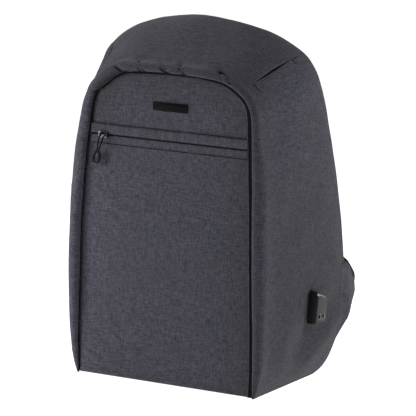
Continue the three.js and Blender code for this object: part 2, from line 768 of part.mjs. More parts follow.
// A place on the housing, so far out from a plane that lies along the side.
function usbPlace(across, up, out) {
  const depth = across * usb.width;
  const height = up * usb.height;
  return new THREE.Vector3(
    usbFaceX + usbSlope.depth * depth + usbSlope.up * height + out,
    usb.depthPlace + depth,
    usb.heightPlace + height,
  );
}
const usbSeat = clearance + Math.max(...usbProfile.map((p) => {
  const place = usbPlace(p.across, p.up, 0);
  return sideHalfWidthAt(place.z, place.y) - place.x;
}));

function usbHousing() {
  const rings = usbSteps.map((row) => {
    const out = usbSeat + usb.proud * row.out;
    const upOf = (p) => p.up * row.grow - (p.up > 0 ? row.sink : 0);
    return usbProfile.map((p) => usbPlace(p.across * row.grow, upOf(p), out));
  });
  const socket = new THREE.BoxGeometry(usbSocket.thickness, usbSocket.width, 2 * usbSocket.depth);
  const mouth = usbPlace(0, -0.5, usbSeat + (usb.proud * usbSteps[1].out) / 2);
  socket.rotateZ(-Math.atan(usbSlope.depth));
  return cutAway(loft(rings), socket.translate(mouth.x, mouth.y, mouth.z));
}

// The left side pocket: its seams lie on the side, and its gathered mouth stands off.
function pocketPlace(across, up, lift) {
  const depth = lerp(sidePocket.front, sidePocket.rear, across);
  const z = lerp(sidePocket.bottom, sidePocket.mouth, up);
  const middle = Math.sin(Math.PI * clamp(across, 0, 1)) ** 0.55;
  const standoff = sidePocket.puff * middle * Math.sin((Math.PI / 2) * clamp(up, 0, 1)) ** 0.6;
  const x = -sideHalfWidthAt(z, depth) - 2 * clearance - standoff - lift;
  return new THREE.Vector3(x, depth, z);
}

const shares = (count) => [...Array(count + 1).keys()].map((i) => i / count);

function sidePocketCloth() {
  const top = 1 - (hemHeight + clearance) / (sidePocket.mouth - sidePocket.bottom);
  const ups = shares(9).map((share) => share * top);
  const rings = shares(16).map((across) => [
    ...ups.map((up) => pocketPlace(across, up, sidePocket.wall)),
    ...ups.map((up) => pocketPlace(across, up, 0)).reverse(),
  ]);
  return loft(rings);
}

function sidePocketHem() {
  const low = 1 - hemHeight / (sidePocket.mouth - sidePocket.bottom);
  const rings = shares(2 * hemRibs).map((across, i) => {
    const rib = i % 2 ? 0.9 : 0;
    return [low, 1].flatMap((up, k) => {
      const faces = [pocketPlace(across, up, hemThickness - rib), pocketPlace(across, up, 0)];
      return k ? faces.reverse() : faces;
    });
  });
  return loft(rings);
}

// A closed round solid along a curve.
function roundCord(points, diameter, steps, sides) {
  const curve = new THREE.CatmullRomCurve3(points, false, 'centripetal');
  const frames = curve.computeFrenetFrames(steps, false);
  const rings = shares(steps).map((share, i) => {
    const at = curve.getPointAt(share);
    return [...Array(sides).keys()].map((k) => {
      const angle = (2 * Math.PI * k) / sides;
      return at.clone()
        .addScaledVector(frames.normals[i], (Math.cos(angle) * diameter) / 2)
        .addScaledVector(frames.binormals[i], (Math.sin(angle) * diameter) / 2);
    });
  });
  return loft(rings);
}

// Slider on the pocket zip, with a bridge that the puller's cord runs through.
const sliderSeat = frontDepthAt(pocketZipHeight) - welt.thickness - 2 * clearance;

function zipSlider() {
  const { length, height, body, window, bridge, bridgeHeight } = sliderSize;
  const post = 0.14 * length;
  const reach = 0.28 * length;
  const overlap = 0.2;
  const postHeight = window + bridge / 2 + overlap;
  const postMiddle = overlap - body - postHeight / 2;
  const parts = [
    new THREE.BoxGeometry(length, body, height).translate(0, -body / 2, 0),
    new THREE.BoxGeometry(post, postHeight, bridgeHeight).translate(-reach, postMiddle, 0),
    new THREE.BoxGeometry(post, postHeight, bridgeHeight).translate(reach, postMiddle, 0),
    new THREE.BoxGeometry(2 * reach + 1.2 * post, bridge, 1.1 * bridgeHeight)
      .translate(0, -body - window - bridge / 2, 0),
  ];
  const joined = parts.map(solidOf).reduce((whole, piece) => whole.add(piece));
  return geometryOf(joined).translate(sliderX, sliderSeat, pocketZipHeight);
}

// The puller's cord runs up in front of the bridge, over it and down behind it, with both ends in the tip.
const cordSpread = 2;
const cordRoute = [
  { across: -0.5, down: 19.9, front: 0.5 },
  { across: -0.75, down: 15, front: 0.62 },
  { across: -0.95, down: 8, front: 0.95 },
  { across: -0.8, down: 2, front: 1.0 },
  { across: -0.5, down: -1.2, front: 1.0 },
  { across: -0.25, down: -3.2, front: 0.84 },
  { across: 0.0, down: -3.8, front: 0.5 },
  { across: 0.25, down: -3.2, front: 0.16 },
  { across: 0.5, down: -1.2, front: 0.0 },
  { across: 0.8, down: 1.6, front: 0.0 },
  { across: 0.95, down: 6.5, front: 0.04 },
  { across: 0.75, down: 15, front: 0.38 },
  { across: 0.5, down: 19.9, front: 0.5 },
];
const cordInner = sliderSeat - sliderSize.body - sliderSize.window / 2;
const cordOuter = cordInner - sliderSize.window / 2 - sliderSize.bridge - pullerCordDiameter / 2 - clearance;

function pullerCord() {
  const points = cordRoute.map((row) => new THREE.Vector3(
    sliderX + row.across * cordSpread + (pullerLean * Math.max(0, row.down)) / pullerDrop,
    lerp(cordInner, cordOuter, row.front),
    pocketZipHeight - row.down,
  ));
  return roundCord(points, pullerCordDiameter, 44, 8);
}

// The moulded tip, as shares of its width and its drop.
const tipSections = [
  { down: 0.0, width: 0.62, thick: 0.6 },
  { down: 0.2, width: 0.86, thick: 0.9 },
  { down: 0.5, width: 1.0, thick: 1.0 },
  { down: 0.82, width: 0.96, thick: 0.9 },
  { down: 1.0, width: 0.74, thick: 0.6 },
];

function pullerTipBody() {
  const middle = lerp(cordInner, cordOuter, 0.5);
  const stops = tipSections.map((row) => ({
    at: new THREE.Vector3(
      sliderX + pullerLean * (1 + (row.down * pullerTip.height) / pullerDrop),
      middle,
      pocketZipHeight - pullerDrop - row.down * pullerTip.height,
    ),
    across: new THREE.Vector3(1, 0, 0),
    halfWidth: (row.width * pullerTip.width) / 2,
    thickness: row.thick * pullerTip.thickness,
  }));
  return band(stops, pullerTip.thickness, 1);
}

// A slider of the main zip, a plain block on the closed teeth.
function mainZipSlider(along) {
  const place = backCurve.getPoint(along);
  const outward = outwardAt(backCurve, along);
  const reach = backCornerRadius + backBorder + mainZipWidth / 2;
  const z = place.z - outward.y * reach;
  const block = new THREE.BoxGeometry(mainSlider.height, mainSlider.thickness, mainSlider.width);
  block.rotateX(Math.atan2(hipDepth - crownDepth, backHeight - hipHeight));
  block.rotateY(Math.atan2(outward.x, outward.y));
  const depth = backDepthAt(z) + mainZipRise + mainSlider.thickness / 2 + 3 * clearance;
  return block.translate(place.x - outward.x * reach, depth, z);
}

add('outer_shell', sidesAndHood(), material.cloth);
add('front_panel', frontPanel(), material.cloth);
add('base_board', baseBoard(), material.cloth);
add('lower_back', lowerBack(), material.cloth);
add('back_panel', backPanel(), material.mesh);
add('main_zip', mainZip(), material.zip);
add('main_zip_slider_left', mainZipSlider(0.44), material.slider);
add('main_zip_slider_right', mainZipSlider(0.56), material.slider);

const stripSeat = clearance;
const zipTop = pocketZipHeight + pocketZipWidth / 2 + clearance;
const zipFoot = pocketZipHeight - pocketZipWidth / 2 - clearance;
add('pocket_zip', faceStrip(0, pocketZipHalfLength - clearance, zipFoot + clearance, zipTop - clearance,
  pocketZipThickness, -pocketZipThickness), material.zip);
add('upper_welt', faceStrip(0, pocketZipHalfLength, zipTop, pocketZipHeight + welt.above,
  welt.thickness, stripSeat), material.cloth);
add('lower_welt', faceStrip(0, pocketZipHalfLength, pocketZipHeight - welt.below, zipFoot,
  welt.thickness, stripSeat), material.cloth);
add('zip_slider', zipSlider(), material.metal);
add('puller_cord', pullerCord(), material.webbing);
add('puller_tip', pullerTipBody(), material.plastic);
const plateFoot = pocketZipHeight + plateShare * pocketZipDrop - plateSize.height / 2;
add('name_plate', faceStrip(plateX, plateSize.width / 2, plateFoot, plateFoot + plateSize.height,
  plateSize.thickness, stripSeat), material.plate);

add('port_housing', usbHousing(), material.plastic);
add('side_pocket', sidePocketCloth(), material.cloth);
add('side_pocket_hem', sidePocketHem(), material.cloth);
add('grab_handle', grabHandle(), material.webbing);
for (const [side, hand] of [[-1, 'left'], [1, 'right']]) {
  add(`strap_wing_${hand}`, strapWing(side), material.cloth);
  add(`shoulder_strap_${hand}`, shoulderStrap(side), material.mesh);
  add(`ladder_lock_${hand}`, ladderLock(side), material.plastic);
  add(`strap_webbing_${hand}`, strapWebbing(side), material.webbing);
}

export default backpack;
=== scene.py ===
import math
import bmesh
import bpy
from mathutils import Matrix, Vector, noise
from mathutils.bvhtree import BVHTree
from mathutils.kdtree import KDTree


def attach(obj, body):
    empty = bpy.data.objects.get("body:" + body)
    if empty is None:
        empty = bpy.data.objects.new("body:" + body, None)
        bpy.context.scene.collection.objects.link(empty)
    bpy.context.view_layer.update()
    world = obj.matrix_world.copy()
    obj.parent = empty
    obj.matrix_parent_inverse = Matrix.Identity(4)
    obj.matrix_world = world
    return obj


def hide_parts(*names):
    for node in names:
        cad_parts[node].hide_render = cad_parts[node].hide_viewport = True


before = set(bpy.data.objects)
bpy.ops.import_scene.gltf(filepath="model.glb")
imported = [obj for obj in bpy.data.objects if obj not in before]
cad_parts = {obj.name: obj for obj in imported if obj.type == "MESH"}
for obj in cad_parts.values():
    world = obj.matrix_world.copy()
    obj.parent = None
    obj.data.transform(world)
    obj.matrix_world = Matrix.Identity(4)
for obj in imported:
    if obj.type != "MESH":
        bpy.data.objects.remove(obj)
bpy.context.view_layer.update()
scene = bpy.context.scene
mm = 0.001
print("frame loaded:", len(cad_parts), "nodes")

# camera first, at the photo's angle
cameraView = {"azimuth": 29.1, "elevation": 13.0, "lens": 259.6, "distance": 3.805, "clip": 100,
              "target": (0.0139, 0.0102, 0.2129)}


def gazeOf(side=1):
    turn, lift = math.radians(cameraView["azimuth"]), math.radians(cameraView["elevation"])
    return Vector((-side * math.sin(turn) * math.cos(lift), math.cos(turn) * math.cos(lift), -math.sin(lift)))


def makeCamera():
    gaze = gazeOf()
    camera = bpy.data.objects.new("camera", bpy.data.cameras.new("camera"))
    camera.data.lens = cameraView["lens"]
    camera.data.clip_end = cameraView["clip"]
    camera.location = Vector(cameraView["target"]) - gaze * cameraView["distance"]
    camera.rotation_mode = "QUATERNION"
    camera.rotation_quaternion = gaze.to_track_quat("-Z", "Y")
    scene.collection.objects.link(camera)
    scene.camera = camera


makeCamera()


# node helpers
noiseRoughness = 0.62
patchRange = (0.3, 0.7)


def newMaterial(name):
    material = bpy.data.materials.new(name)
    material.use_nodes = True
    return material, material.node_tree, material.node_tree.nodes["Principled BSDF"]


def addNode(tree, kind, inputs=None, **settings):
    node = tree.nodes.new("ShaderNode" + kind)
    for key, value in settings.items():
        setattr(node, key, value)
    for key, value in (inputs or {}).items():
        if isinstance(value, bpy.types.NodeSocket):
            tree.links.new(value, node.inputs[key])
        else:
            node.inputs[key].default_value = value
    return node


def calc(tree, operation, first, second=0.0, third=0.0):
    node = addNode(tree, "Math", {0: first, 1: second, 2: third}, operation=operation)
    return node.outputs[0]


def spread(tree, value, low, high, newLow=0.0, newHigh=1.0):
    node = addNode(tree, "MapRange", {"Value": value, "From Min": low, "From Max": high,
                                      "To Min": newLow, "To Max": newHigh})
    return node.outputs["Result"]


def blendColours(tree, share, first, second):
    node = addNode(tree, "Mix", {"Factor": share}, data_type="RGBA")
    for socket, value in ((node.inputs[6], first), (node.inputs[7], second)):
        if isinstance(value, bpy.types.NodeSocket):
            tree.links.new(value, socket)
        else:
            socket.default_value = (*value, 1.0)
    return node.outputs[2]


def objectPlace(tree):
    return addNode(tree, "TexCoord").outputs["Object"]


def streaks(tree, place, scale, detail=3.0):
    mapped = addNode(tree, "Mapping", {"Vector": place, "Scale": scale}).outputs["Vector"]
    return addNode(tree, "TexNoise", {"Vector": mapped, "Scale": 1.0, "Detail": detail,
                                      "Roughness": noiseRoughness}).outputs["Fac"]


def wavesAlong(tree, place, pitch):
    parts = addNode(tree, "SeparateXYZ", {"Vector": place}).outputs
    return [calc(tree, "SINE", calc(tree, "MULTIPLY", part, 2 * math.pi / pitch)) for part in parts]


def weaveHeight(tree, place, pitch):
    x, y, z = wavesAlong(tree, place, pitch)
    total = calc(tree, "MULTIPLY", x, y)
    total = calc(tree, "MULTIPLY_ADD", y, z, total)
    return calc(tree, "MULTIPLY_ADD", z, x, total)


def setBump(tree, shader, height, strength, distance):
    bump = addNode(tree, "Bump", {"Height": height, "Strength": strength, "Distance": distance})
    tree.links.new(bump.outputs["Normal"], shader.inputs["Normal"])


# woven cloth with mixed light and dark yarns, streaked along both thread directions
# level cloth is streaked front to back as well; the points' painted shading value darkens it as painted
# shade, and lightens it as painted light where it is below zero
def wovenCloth(name, look):
    material, tree, shader = newMaterial(name)
    place = objectPlace(tree)
    along, across = look["along"], look["across"]
    weft = streaks(tree, place, (along, along, across))
    level = streaks(tree, place, (along, across, along))
    normal = addNode(tree, "NewGeometry").outputs["Normal"]
    facing = addNode(tree, "SeparateXYZ", {"Vector": normal}).outputs["Z"]
    share = spread(tree, calc(tree, "ABSOLUTE", facing), *look["level"])
    weft = addNode(tree, "Mix", {"Factor": share, 2: weft, 3: level}).outputs[0]
    warp = streaks(tree, place, (across, across, along))
    yarns = spread(tree, calc(tree, "ADD", weft, warp), *look["yarns"])
    patches = streaks(tree, place, (look["patch"],) * 3, 2.0)
    flecks = streaks(tree, place, (look["fleck"],) * 3, 1.0)
    base = blendColours(tree, yarns, look["dark"], look["light"])
    base = blendColours(tree, spread(tree, flecks, *look["fleckShare"]), base, look["bright"])
    shade = spread(tree, patches, *patchRange, *look["shade"])
    paintedShading = addNode(tree, "Attribute", attribute_name="paintedShading").outputs["Fac"]
    shade = calc(tree, "MULTIPLY", shade, calc(tree, "SUBTRACT", 1.0, paintedShading))
    toned = addNode(tree, "VectorMath", {0: base, "Scale": shade}, operation="SCALE")
    tree.links.new(toned.outputs[0], shader.inputs["Base Color"])
    tree.links.new(spread(tree, patches, *patchRange, *look["rough"]), shader.inputs["Roughness"])
    height = calc(tree, "MULTIPLY_ADD", yarns, look["yarnHeight"], weaveHeight(tree, place, look["pitch"]))
    setBump(tree, shader, height, look["bump"], look["depth"])
    shader.inputs["Sheen Weight"].default_value = look["sheen"]
    shader.inputs["Sheen Roughness"].default_value = 0.5
    shader.inputs["Specular IOR Level"].default_value = look["shine"]
    return material


bodyClothLook = {"dark": (0.0130, 0.0129, 0.0190), "light": (0.0498, 0.0490, 0.0672),
                 "bright": (0.096, 0.095, 0.123), "along": 120, "across": 1000, "level": (0.5, 0.8),
                 "yarns": (0.83, 1.17), "patch": 24, "shade": (0.93, 1.07), "rough": (0.83, 0.93),
                 "fleck": 900, "fleckShare": (0.6, 0.78, 0.0, 0.55), "pitch": 0.0011, "yarnHeight": 0.9,
                 "bump": 0.35, "depth": 0.0004, "sheen": 0.1, "shine": 0.25}
baseClothLook = {**bodyClothLook, "dark": (0.018, 0.018, 0.022), "light": (0.034, 0.033, 0.040),
                 "bright": (0.05, 0.05, 0.056), "sheen": 0.06}
bodyCloth = wovenCloth("bodyCloth", bodyClothLook)
baseCloth = wovenCloth("baseCloth", baseClothLook)

# knitted spacer mesh with small round holes
airMeshLook = {"thread": (0.030, 0.030, 0.034), "hole": (0.006, 0.006, 0.007), "cells": 330, "uneven": 0.25,
               "wall": (0.22, 0.42), "patch": 30, "shade": (0.85, 1.15), "rough": (0.95, 0.78),
               "bump": 0.7, "depth": 0.0007, "sheen": 0.1}


def spacerMesh(name, look):
    material, tree, shader = newMaterial(name)
    place = objectPlace(tree)
    cells = addNode(tree, "TexVoronoi", {"Vector": place, "Scale": look["cells"],
                                         "Randomness": look["uneven"]})
    wall = spread(tree, cells.outputs["Distance"], *look["wall"])
    patches = streaks(tree, place, (look["patch"],) * 3, 2.0)
    base = blendColours(tree, wall, look["hole"], look["thread"])
    shade = spread(tree, patches, *patchRange, *look["shade"])
    toned = addNode(tree, "VectorMath", {0: base, "Scale": shade}, operation="SCALE")
    tree.links.new(toned.outputs[0], shader.inputs["Base Color"])
    tree.links.new(spread(tree, wall, 0.0, 1.0, *look["rough"]), shader.inputs["Roughness"])
    setBump(tree, shader, wall, look["bump"], look["depth"])
    shader.inputs["Sheen Weight"].default_value = look["sheen"]
    return material


airMesh = spacerMesh("airMesh", airMeshLook)

# ribbed webbing, cord, zip tape and elastic: fine ribs with slubs
webbingLook = {"dark": (0.006, 0.006, 0.008), "light": (0.018, 0.018, 0.021), "pitch": 0.0016, "bump": 0.5,
               "sheen": 0.03, "shine": 0.12}
cordWeaveLook = {"dark": (0.003, 0.003, 0.004), "light": (0.007, 0.007, 0.008), "pitch": 0.0007, "bump": 0.3,
                 "sheen": 0.0, "shine": 0.06}
tapeLook = {"dark": (0.003, 0.003, 0.004), "light": (0.008, 0.008, 0.009), "pitch": 0.0009, "bump": 0.35,
            "sheen": 0.0, "shine": 0.08}
elasticLook = {"dark": (0.020, 0.020, 0.024), "light": (0.050, 0.050, 0.058), "pitch": 0.0014, "bump": 0.5,
               "sheen": 0.06, "shine": 0.25}
ribLook = {"slubs": (700, 700, 260), "ribShare": 0.5, "slubShare": 0.6, "rough": (0.62, 0.8), "depth": 0.0005}


def ribbedWeave(name, look):
    material, tree, shader = newMaterial(name)
    place = objectPlace(tree)
    height = weaveHeight(tree, place, look["pitch"])
    slubs = streaks(tree, place, ribLook["slubs"])
    mixed = calc(tree, "MULTIPLY_ADD", spread(tree, height, -1.0, 1.0), ribLook["ribShare"],
                 calc(tree, "MULTIPLY", slubs, ribLook["slubShare"]))
    base = blendColours(tree, mixed, look["dark"], look["light"])
    tree.links.new(base, shader.inputs["Base Color"])
    tree.links.new(spread(tree, slubs, *patchRange, *ribLook["rough"]), shader.inputs["Roughness"])
    setBump(tree, shader, height, look["bump"], ribLook["depth"])
    shader.inputs["Sheen Weight"].default_value = look["sheen"]
    shader.inputs["Specular IOR Level"].default_value = look["shine"]
    return material


webbingCloth = ribbedWeave("webbingCloth", webbingLook)
cordWeave = ribbedWeave("cordWeave", cordWeaveLook)
zipTape = ribbedWeave("zipTape", tapeLook)
elasticCloth = ribbedWeave("elasticCloth", elasticLook)

# hard finishes: fine grain, patchy gloss and slight scuffs
plasticLook = {"base": (0.005, 0.005, 0.006), "worn": (0.012, 0.012, 0.013), "rough": 0.4, "grain": 1400,
               "bump": 0.12, "metal": 0.0, "shine": 0.14}
greyFaceLook = {"base": (0.022, 0.022, 0.025), "worn": (0.048, 0.048, 0.052), "rough": 0.5, "grain": 1600,
                "bump": 0.15, "metal": 0.0, "shine": 0.3}
edgeLook = {"base": (0.20, 0.20, 0.21), "worn": (0.30, 0.30, 0.31), "rough": 0.38, "grain": 900,
            "bump": 0.05, "metal": 0.0, "shine": 0.3}
plateLook = {"base": (0.003, 0.003, 0.0035), "worn": (0.006, 0.006, 0.007), "rough": 0.26, "grain": 300,
             "bump": 0.02, "metal": 0.0, "shine": 0.05}
coilLook = {"base": (0.003, 0.003, 0.004), "worn": (0.008, 0.008, 0.009), "rough": 0.45, "grain": 2000,
            "bump": 0.1, "metal": 0.0, "shine": 0.12}
brightLook = {"base": (0.035, 0.035, 0.04), "worn": (0.34, 0.34, 0.35), "rough": 0.32, "grain": 500,
              "bump": 0.05, "metal": 1.0, "shine": 0.3}
darkMetalLook = {"base": (0.028, 0.028, 0.030), "worn": (0.10, 0.10, 0.105), "rough": 0.35, "grain": 700,
                 "bump": 0.06, "metal": 0.7, "shine": 0.3}
scuffLook = {"fine": 0.12, "long": 0.5, "worn": (0.52, 0.72), "rough": (0.85, 1.2), "depth": 0.0003}


def hardFinish(name, look):
    material, tree, shader = newMaterial(name)
    place = objectPlace(tree)
    grain = streaks(tree, place, (look["grain"],) * 3, 2.0)
    fine, long = look["grain"] * scuffLook["fine"], look["grain"] * scuffLook["long"]
    scuffs = streaks(tree, place, (fine, fine, long), 4.0)
    base = blendColours(tree, spread(tree, scuffs, *scuffLook["worn"]), look["base"], look["worn"])
    tree.links.new(base, shader.inputs["Base Color"])
    least, most = (look["rough"] * share for share in scuffLook["rough"])
    tree.links.new(spread(tree, scuffs, *patchRange, least, most), shader.inputs["Roughness"])
    setBump(tree, shader, grain, look["bump"], scuffLook["depth"])
    shader.inputs["Metallic"].default_value = look["metal"]
    shader.inputs["Specular IOR Level"].default_value = look["shine"]
    return material


mouldedPlastic = hardFinish("mouldedPlastic", plasticLook)
greyFace = hardFinish("greyFace", greyFaceLook)
paleEdge = hardFinish("paleEdge", edgeLook)
glossBlack = hardFinish("glossBlack", plateLook)
coilPlastic = hardFinish("coilPlastic", coilLook)
brightMetal = hardFinish("brightMetal", brightLook)
darkMetal = hardFinish("darkMetal", darkMetalLook)

# sewing thread, a pale finish for a painted highlight and a near-black finish for painted shadow
threadLook = {"dark": (0.004, 0.004, 0.006), "light": (0.012, 0.012, 0.015), "pitch": 0.0004, "bump": 0.3,
              "sheen": 0.0, "shine": 0.08}
paintedCreaseHighlightLook = {"dark": (0.055, 0.054, 0.062), "light": (0.11, 0.108, 0.12), "pitch": 0.0004, "bump": 0.3,
                  "sheen": 0.06, "shine": 0.25}
paintedShadowLook = {"dark": (0.002, 0.002, 0.003), "light": (0.006, 0.006, 0.007), "pitch": 0.0006, "bump": 0.2,
              "sheen": 0.0, "shine": 0.04}
darkThread = ribbedWeave("darkThread", threadLook)
paintedCreaseHighlight = ribbedWeave("paintedCreaseHighlight", paintedCreaseHighlightLook)
paintedShadow = ribbedWeave("paintedShadow", paintedShadowLook)
print("finishes made")


# mesh helpers
weldDistance = 2e-5
flatAngle = math.radians(2)
floorHeight = 0.3 * mm


def cadCopy(node, quads=True):
    bm = bmesh.new()
    bm.from_mesh(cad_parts[node].data)
    bmesh.ops.remove_doubles(bm, verts=bm.verts, dist=weldDistance)
    if quads:
        bmesh.ops.join_triangles(bm, faces=bm.faces, angle_face_threshold=math.radians(60),
                                 angle_shape_threshold=math.radians(150))
    return bm


def makePiece(bm, name, material, nodes=(), smoothAngle=40):
    mesh = bpy.data.meshes.new(name)
    bm.to_mesh(mesh)
    bm.free()
    for one in material if isinstance(material, (list, tuple)) else [material]:
        mesh.materials.append(one)
    mesh.shade_smooth()
    if smoothAngle:
        mesh.set_sharp_from_angle(angle=math.radians(smoothAngle))
    piece = bpy.data.objects.new(name, mesh)
    scene.collection.objects.link(piece)
    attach(piece, "root")
    if nodes:
        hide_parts(*nodes)
    return piece


# keeps sharp edges crisp in a subdivided piece
def creaseSharp(bm, angle, value, floorOnly=False):
    layer = bm.edges.layers.float.get("crease_edge") or bm.edges.layers.float.new("crease_edge")
    for edge in bm.edges:
        sharp = edge.calc_face_angle(0.0) > math.radians(angle)
        onFloor = all(vert.co.z < floorHeight for vert in edge.verts)
        if sharp and (onFloor or not floorOnly):
            edge[layer] = value


def rounded(piece, levels):
    modifier = piece.modifiers.new("rounded", "SUBSURF")
    modifier.levels = levels
    modifier.render_levels = levels
    return piece


# turns a piece's modifiers into mesh
def settle(piece):
    seen = bpy.context.evaluated_depsgraph_get()
    fresh = bpy.data.meshes.new_from_object(piece.evaluated_get(seen))
    old = piece.data
    piece.modifiers.clear()
    piece.data = fresh
    bpy.data.meshes.remove(old)
    return piece


# cuts a mesh into strips square to an axis
def cutStrips(bm, axis, pitch):
    normal = Vector([1.0 if i == axis else 0.0 for i in range(3)])
    low = min(vert.co[axis] for vert in bm.verts)
    high = max(vert.co[axis] for vert in bm.verts)
    count = max(1, round((high - low) / pitch))
    for i in range(1, count):
        place = normal * (low + (high - low) * i / count)
        bmesh.ops.bisect_plane(bm, geom=bm.verts[:] + bm.edges[:] + bm.faces[:], dist=1e-6,
                               plane_co=place, plane_no=normal)


def bevelSharp(bm, offset, segments=3, angle=35):
    edges = [edge for edge in bm.edges if edge.calc_face_angle(0.0) > math.radians(angle)]
    bmesh.ops.bevel(bm, geom=edges, offset=offset, offset_type="OFFSET", segments=segments, profile=0.5,
                    affect="EDGES", material=-1, clamp_overlap=True)


def hardCopy(node, offset, segments=3):
    bm = cadCopy(node, quads=False)
    bmesh.ops.dissolve_limit(bm, angle_limit=flatAngle, verts=bm.verts, edges=bm.edges)
    bevelSharp(bm, offset, segments)
    return bm


# moves vertices along their normals by soft dents, less so near the floor
dentLook = {"seedSteps": (3.1, 1.7, 2.3), "floorFade": 12}


def dent(mesh, amount, size, seed):
    shift = Vector([seed * step for step in dentLook["seedSteps"]])
    normals = [vert.normal.copy() for vert in mesh.vertices]
    for vert, normal in zip(mesh.vertices, normals):
        share = min(1.0, vert.co.z / (dentLook["floorFade"] * mm))
        vert.co += normal * (amount * share * noise.noise(vert.co / size + shift))


# soft straight folds, in mm: start, end, width and rise outwards
foldReach = 2.6


def foldHeight(place, folds):
    total = 0.0
    for start, end, width, rise in folds:
        start, run = Vector(start) * mm, (Vector(end) - Vector(start)) * mm
        share = max(0.0, min(1.0, (place - start).dot(run) / run.length_squared))
        away = (place - start - run * share).length / (width * mm)
        if away < foldReach:
            total += rise * mm * math.exp(-away * away) * (1 - abs(2 * share - 1) ** 4)
    return total


# a strip of cloth: a grid whose two shares are turned into places
def clothStrip(bm, longSteps, wideSteps, placeOf):
    made = bmesh.ops.create_grid(bm, x_segments=longSteps, y_segments=wideSteps, size=0.5)
    for vert in made["verts"]:
        vert.co = placeOf(vert.co.x + 0.5, vert.co.y + 0.5)


# turns x along a run and z along a normal
def frameOf(run, normal):
    run = run.normalized()
    side = normal.cross(run).normalized()
    return Matrix((run, side, run.cross(side))).transposed()


# a row of stitches along a line of places with their normals
stitchLift = 0.25


def stitchRow(bm, places, normals, pitch, length, thick):
    walked, nextAt = 0.0, pitch / 2
    for i in range(len(places) - 1):
        run = places[i + 1] - places[i]
        while run.length > 0 and nextAt <= walked + run.length:
            share = (nextAt - walked) / run.length
            normal = normals[i].lerp(normals[i + 1], share).normalized()
            turn = frameOf(run, normal).to_4x4()
            size = Matrix.Diagonal((length / 2, thick / 2, thick / 2, 1.0))
            place = Matrix.Translation(places[i] + run * share + normal * thick * stitchLift)
            bmesh.ops.create_icosphere(bm, subdivisions=1, radius=1.0, matrix=place @ turn @ size)
            nextAt += pitch
        walked += run.length


# a smooth line through all the points
def smoothLine(points, steps):
    line = []
    count = len(points) - 1
    for i in range(steps + 1):
        at = i / steps * count
        k = min(count - 1, int(at))
        t = at - k
        p0, p1 = points[max(0, k - 1)], points[k]
        p2, p3 = points[k + 1], points[min(count, k + 2)]
        line.append(0.5 * ((2 * p1) + (p2 - p0) * t + (2 * p0 - 5 * p1 + 4 * p2 - p3) * t * t
                           + (3 * p1 - p0 - 3 * p2 + p3) * t ** 3))
    return line


def skinOf(piece):
    bm = bmesh.new()
    bm.from_mesh(piece.data)
    tree = BVHTree.FromBMesh(bm)
    bm.free()
    return tree


# the front leans back as it rises
frontFoot = -78 * mm
frontLean = 16 / 396


def frontPlace(x, z, proud=0.0):
    return Vector((x, frontFoot + frontLean * z - proud, z))


frontNormal = Vector((0, -1, frontLean)).normalized()

# groove round the front panel: half lines from the foot to the crown, as shares of half width and height
# the dark table gives the width in mm, by x, of the painted shadow strip in the groove
grooveLook = {"halfWidth": 129, "height": 396, "crown": 1.004, "steps": 260, "rows": 3, "proud": 0.22,
              "dark": [(-125, 0.4), (-108, 1.2), (-94, 2.8), (-74, 2.6), (-40, 3.0), (40, 3.2), (90, 4.6),
                       (112, 6.2)],
              "lap": 0.1, "uneven": 0.35, "pace": 34, "unevenShare": [(60, 1.0), (110, 0.1)]}
grooveLeft = [(0.976, 0.0), (0.979, 0.02), (0.988, 0.1), (0.98, 0.3), (0.968, 0.49), (0.95, 0.6),
              (0.916, 0.732), (0.88, 0.82), (0.837, 0.905), (0.73, 0.957), (0.53, 0.991), (0.262, 1.001)]
grooveRight = [(0.976, 0.0), (0.979, 0.02), (0.984, 0.1), (0.972, 0.3), (0.955, 0.49), (0.946, 0.6),
               (0.931, 0.732), (0.917, 0.82), (0.893, 0.912), (0.787, 0.957), (0.6, 0.99), (0.31, 1.002)]


# a value from a table of rows, straight between them
def between(value, table):
    if value <= table[0][0]:
        return table[0][1]
    for (low, first), (high, last) in zip(table, table[1:]):
        if value <= high:
            return first + (last - first) * (value - low) / (high - low)
    return table[-1][1]


# at the left end of the arch the rim is drawn in towards the panel
cornerPull = {"x": -92, "z": 381, "reach": 15, "toward": (0.67, 0, -0.74), "most": 3.6,
              "deep": [(10, 1.0), (26, 0.0)]}


def pullOf(place):
    away = math.hypot(place.x / mm - cornerPull["x"], place.z / mm - cornerPull["z"]) / cornerPull["reach"]
    return Vector(cornerPull["toward"]) * cornerPull["most"] * mm * math.exp(-away * away)


def makeGrooveLine():
    wide, tall = grooveLook["halfWidth"] * mm, grooveLook["height"] * mm
    left = [Vector((-out * wide, 0, up * tall)) for out, up in grooveLeft]
    right = [Vector((out * wide, 0, up * tall)) for out, up in grooveRight]
    crown = [Vector((0, 0, grooveLook["crown"] * tall))]
    line = smoothLine(left + crown + right[::-1], grooveLook["steps"])
    return [place + pullOf(place) for place in line]


grooveLine = makeGrooveLine()
panelLook = {"pitch": 7, "puff": 3.2, "foot": 4, "top": 292, "halfWidth": 123, "fullness": 0.7,
             "dent": 0.55, "wide": 70, "small": 26, "calmZip": (312, 17), "calmPlate": (2, 34, 354, 14),
             "flat": 0.3, "least": 0.6}


# how far the panel's cloth stands off its flat plane; it is calm at the zip and the plate
def panelProud(x, z):
    x, z = x / mm, z / mm
    up = max(0.0, min(1.0, (z - panelLook["foot"]) / (panelLook["top"] - panelLook["foot"])))
    across = max(0.0, 1 - (x / panelLook["halfWidth"]) ** 2)
    puff = panelLook["puff"] * across * math.sin(math.pi * up) ** panelLook["fullness"]
    place = Vector((x, 0, z))
    soft = noise.noise(place / panelLook["wide"]) + 0.5 * noise.noise(place / panelLook["small"])
    zipHeight, zipReach = panelLook["calmZip"]
    plateX, plateWide, plateHeight, plateTall = panelLook["calmPlate"]
    calm = math.exp(-((z - zipHeight) / zipReach) ** 2)
    calm += math.exp(-((x - plateX) / plateWide) ** 2 - ((z - plateHeight) / plateTall) ** 2)
    return (puff + soft * panelLook["dent"] * max(0.0, 1 - calm)) * mm


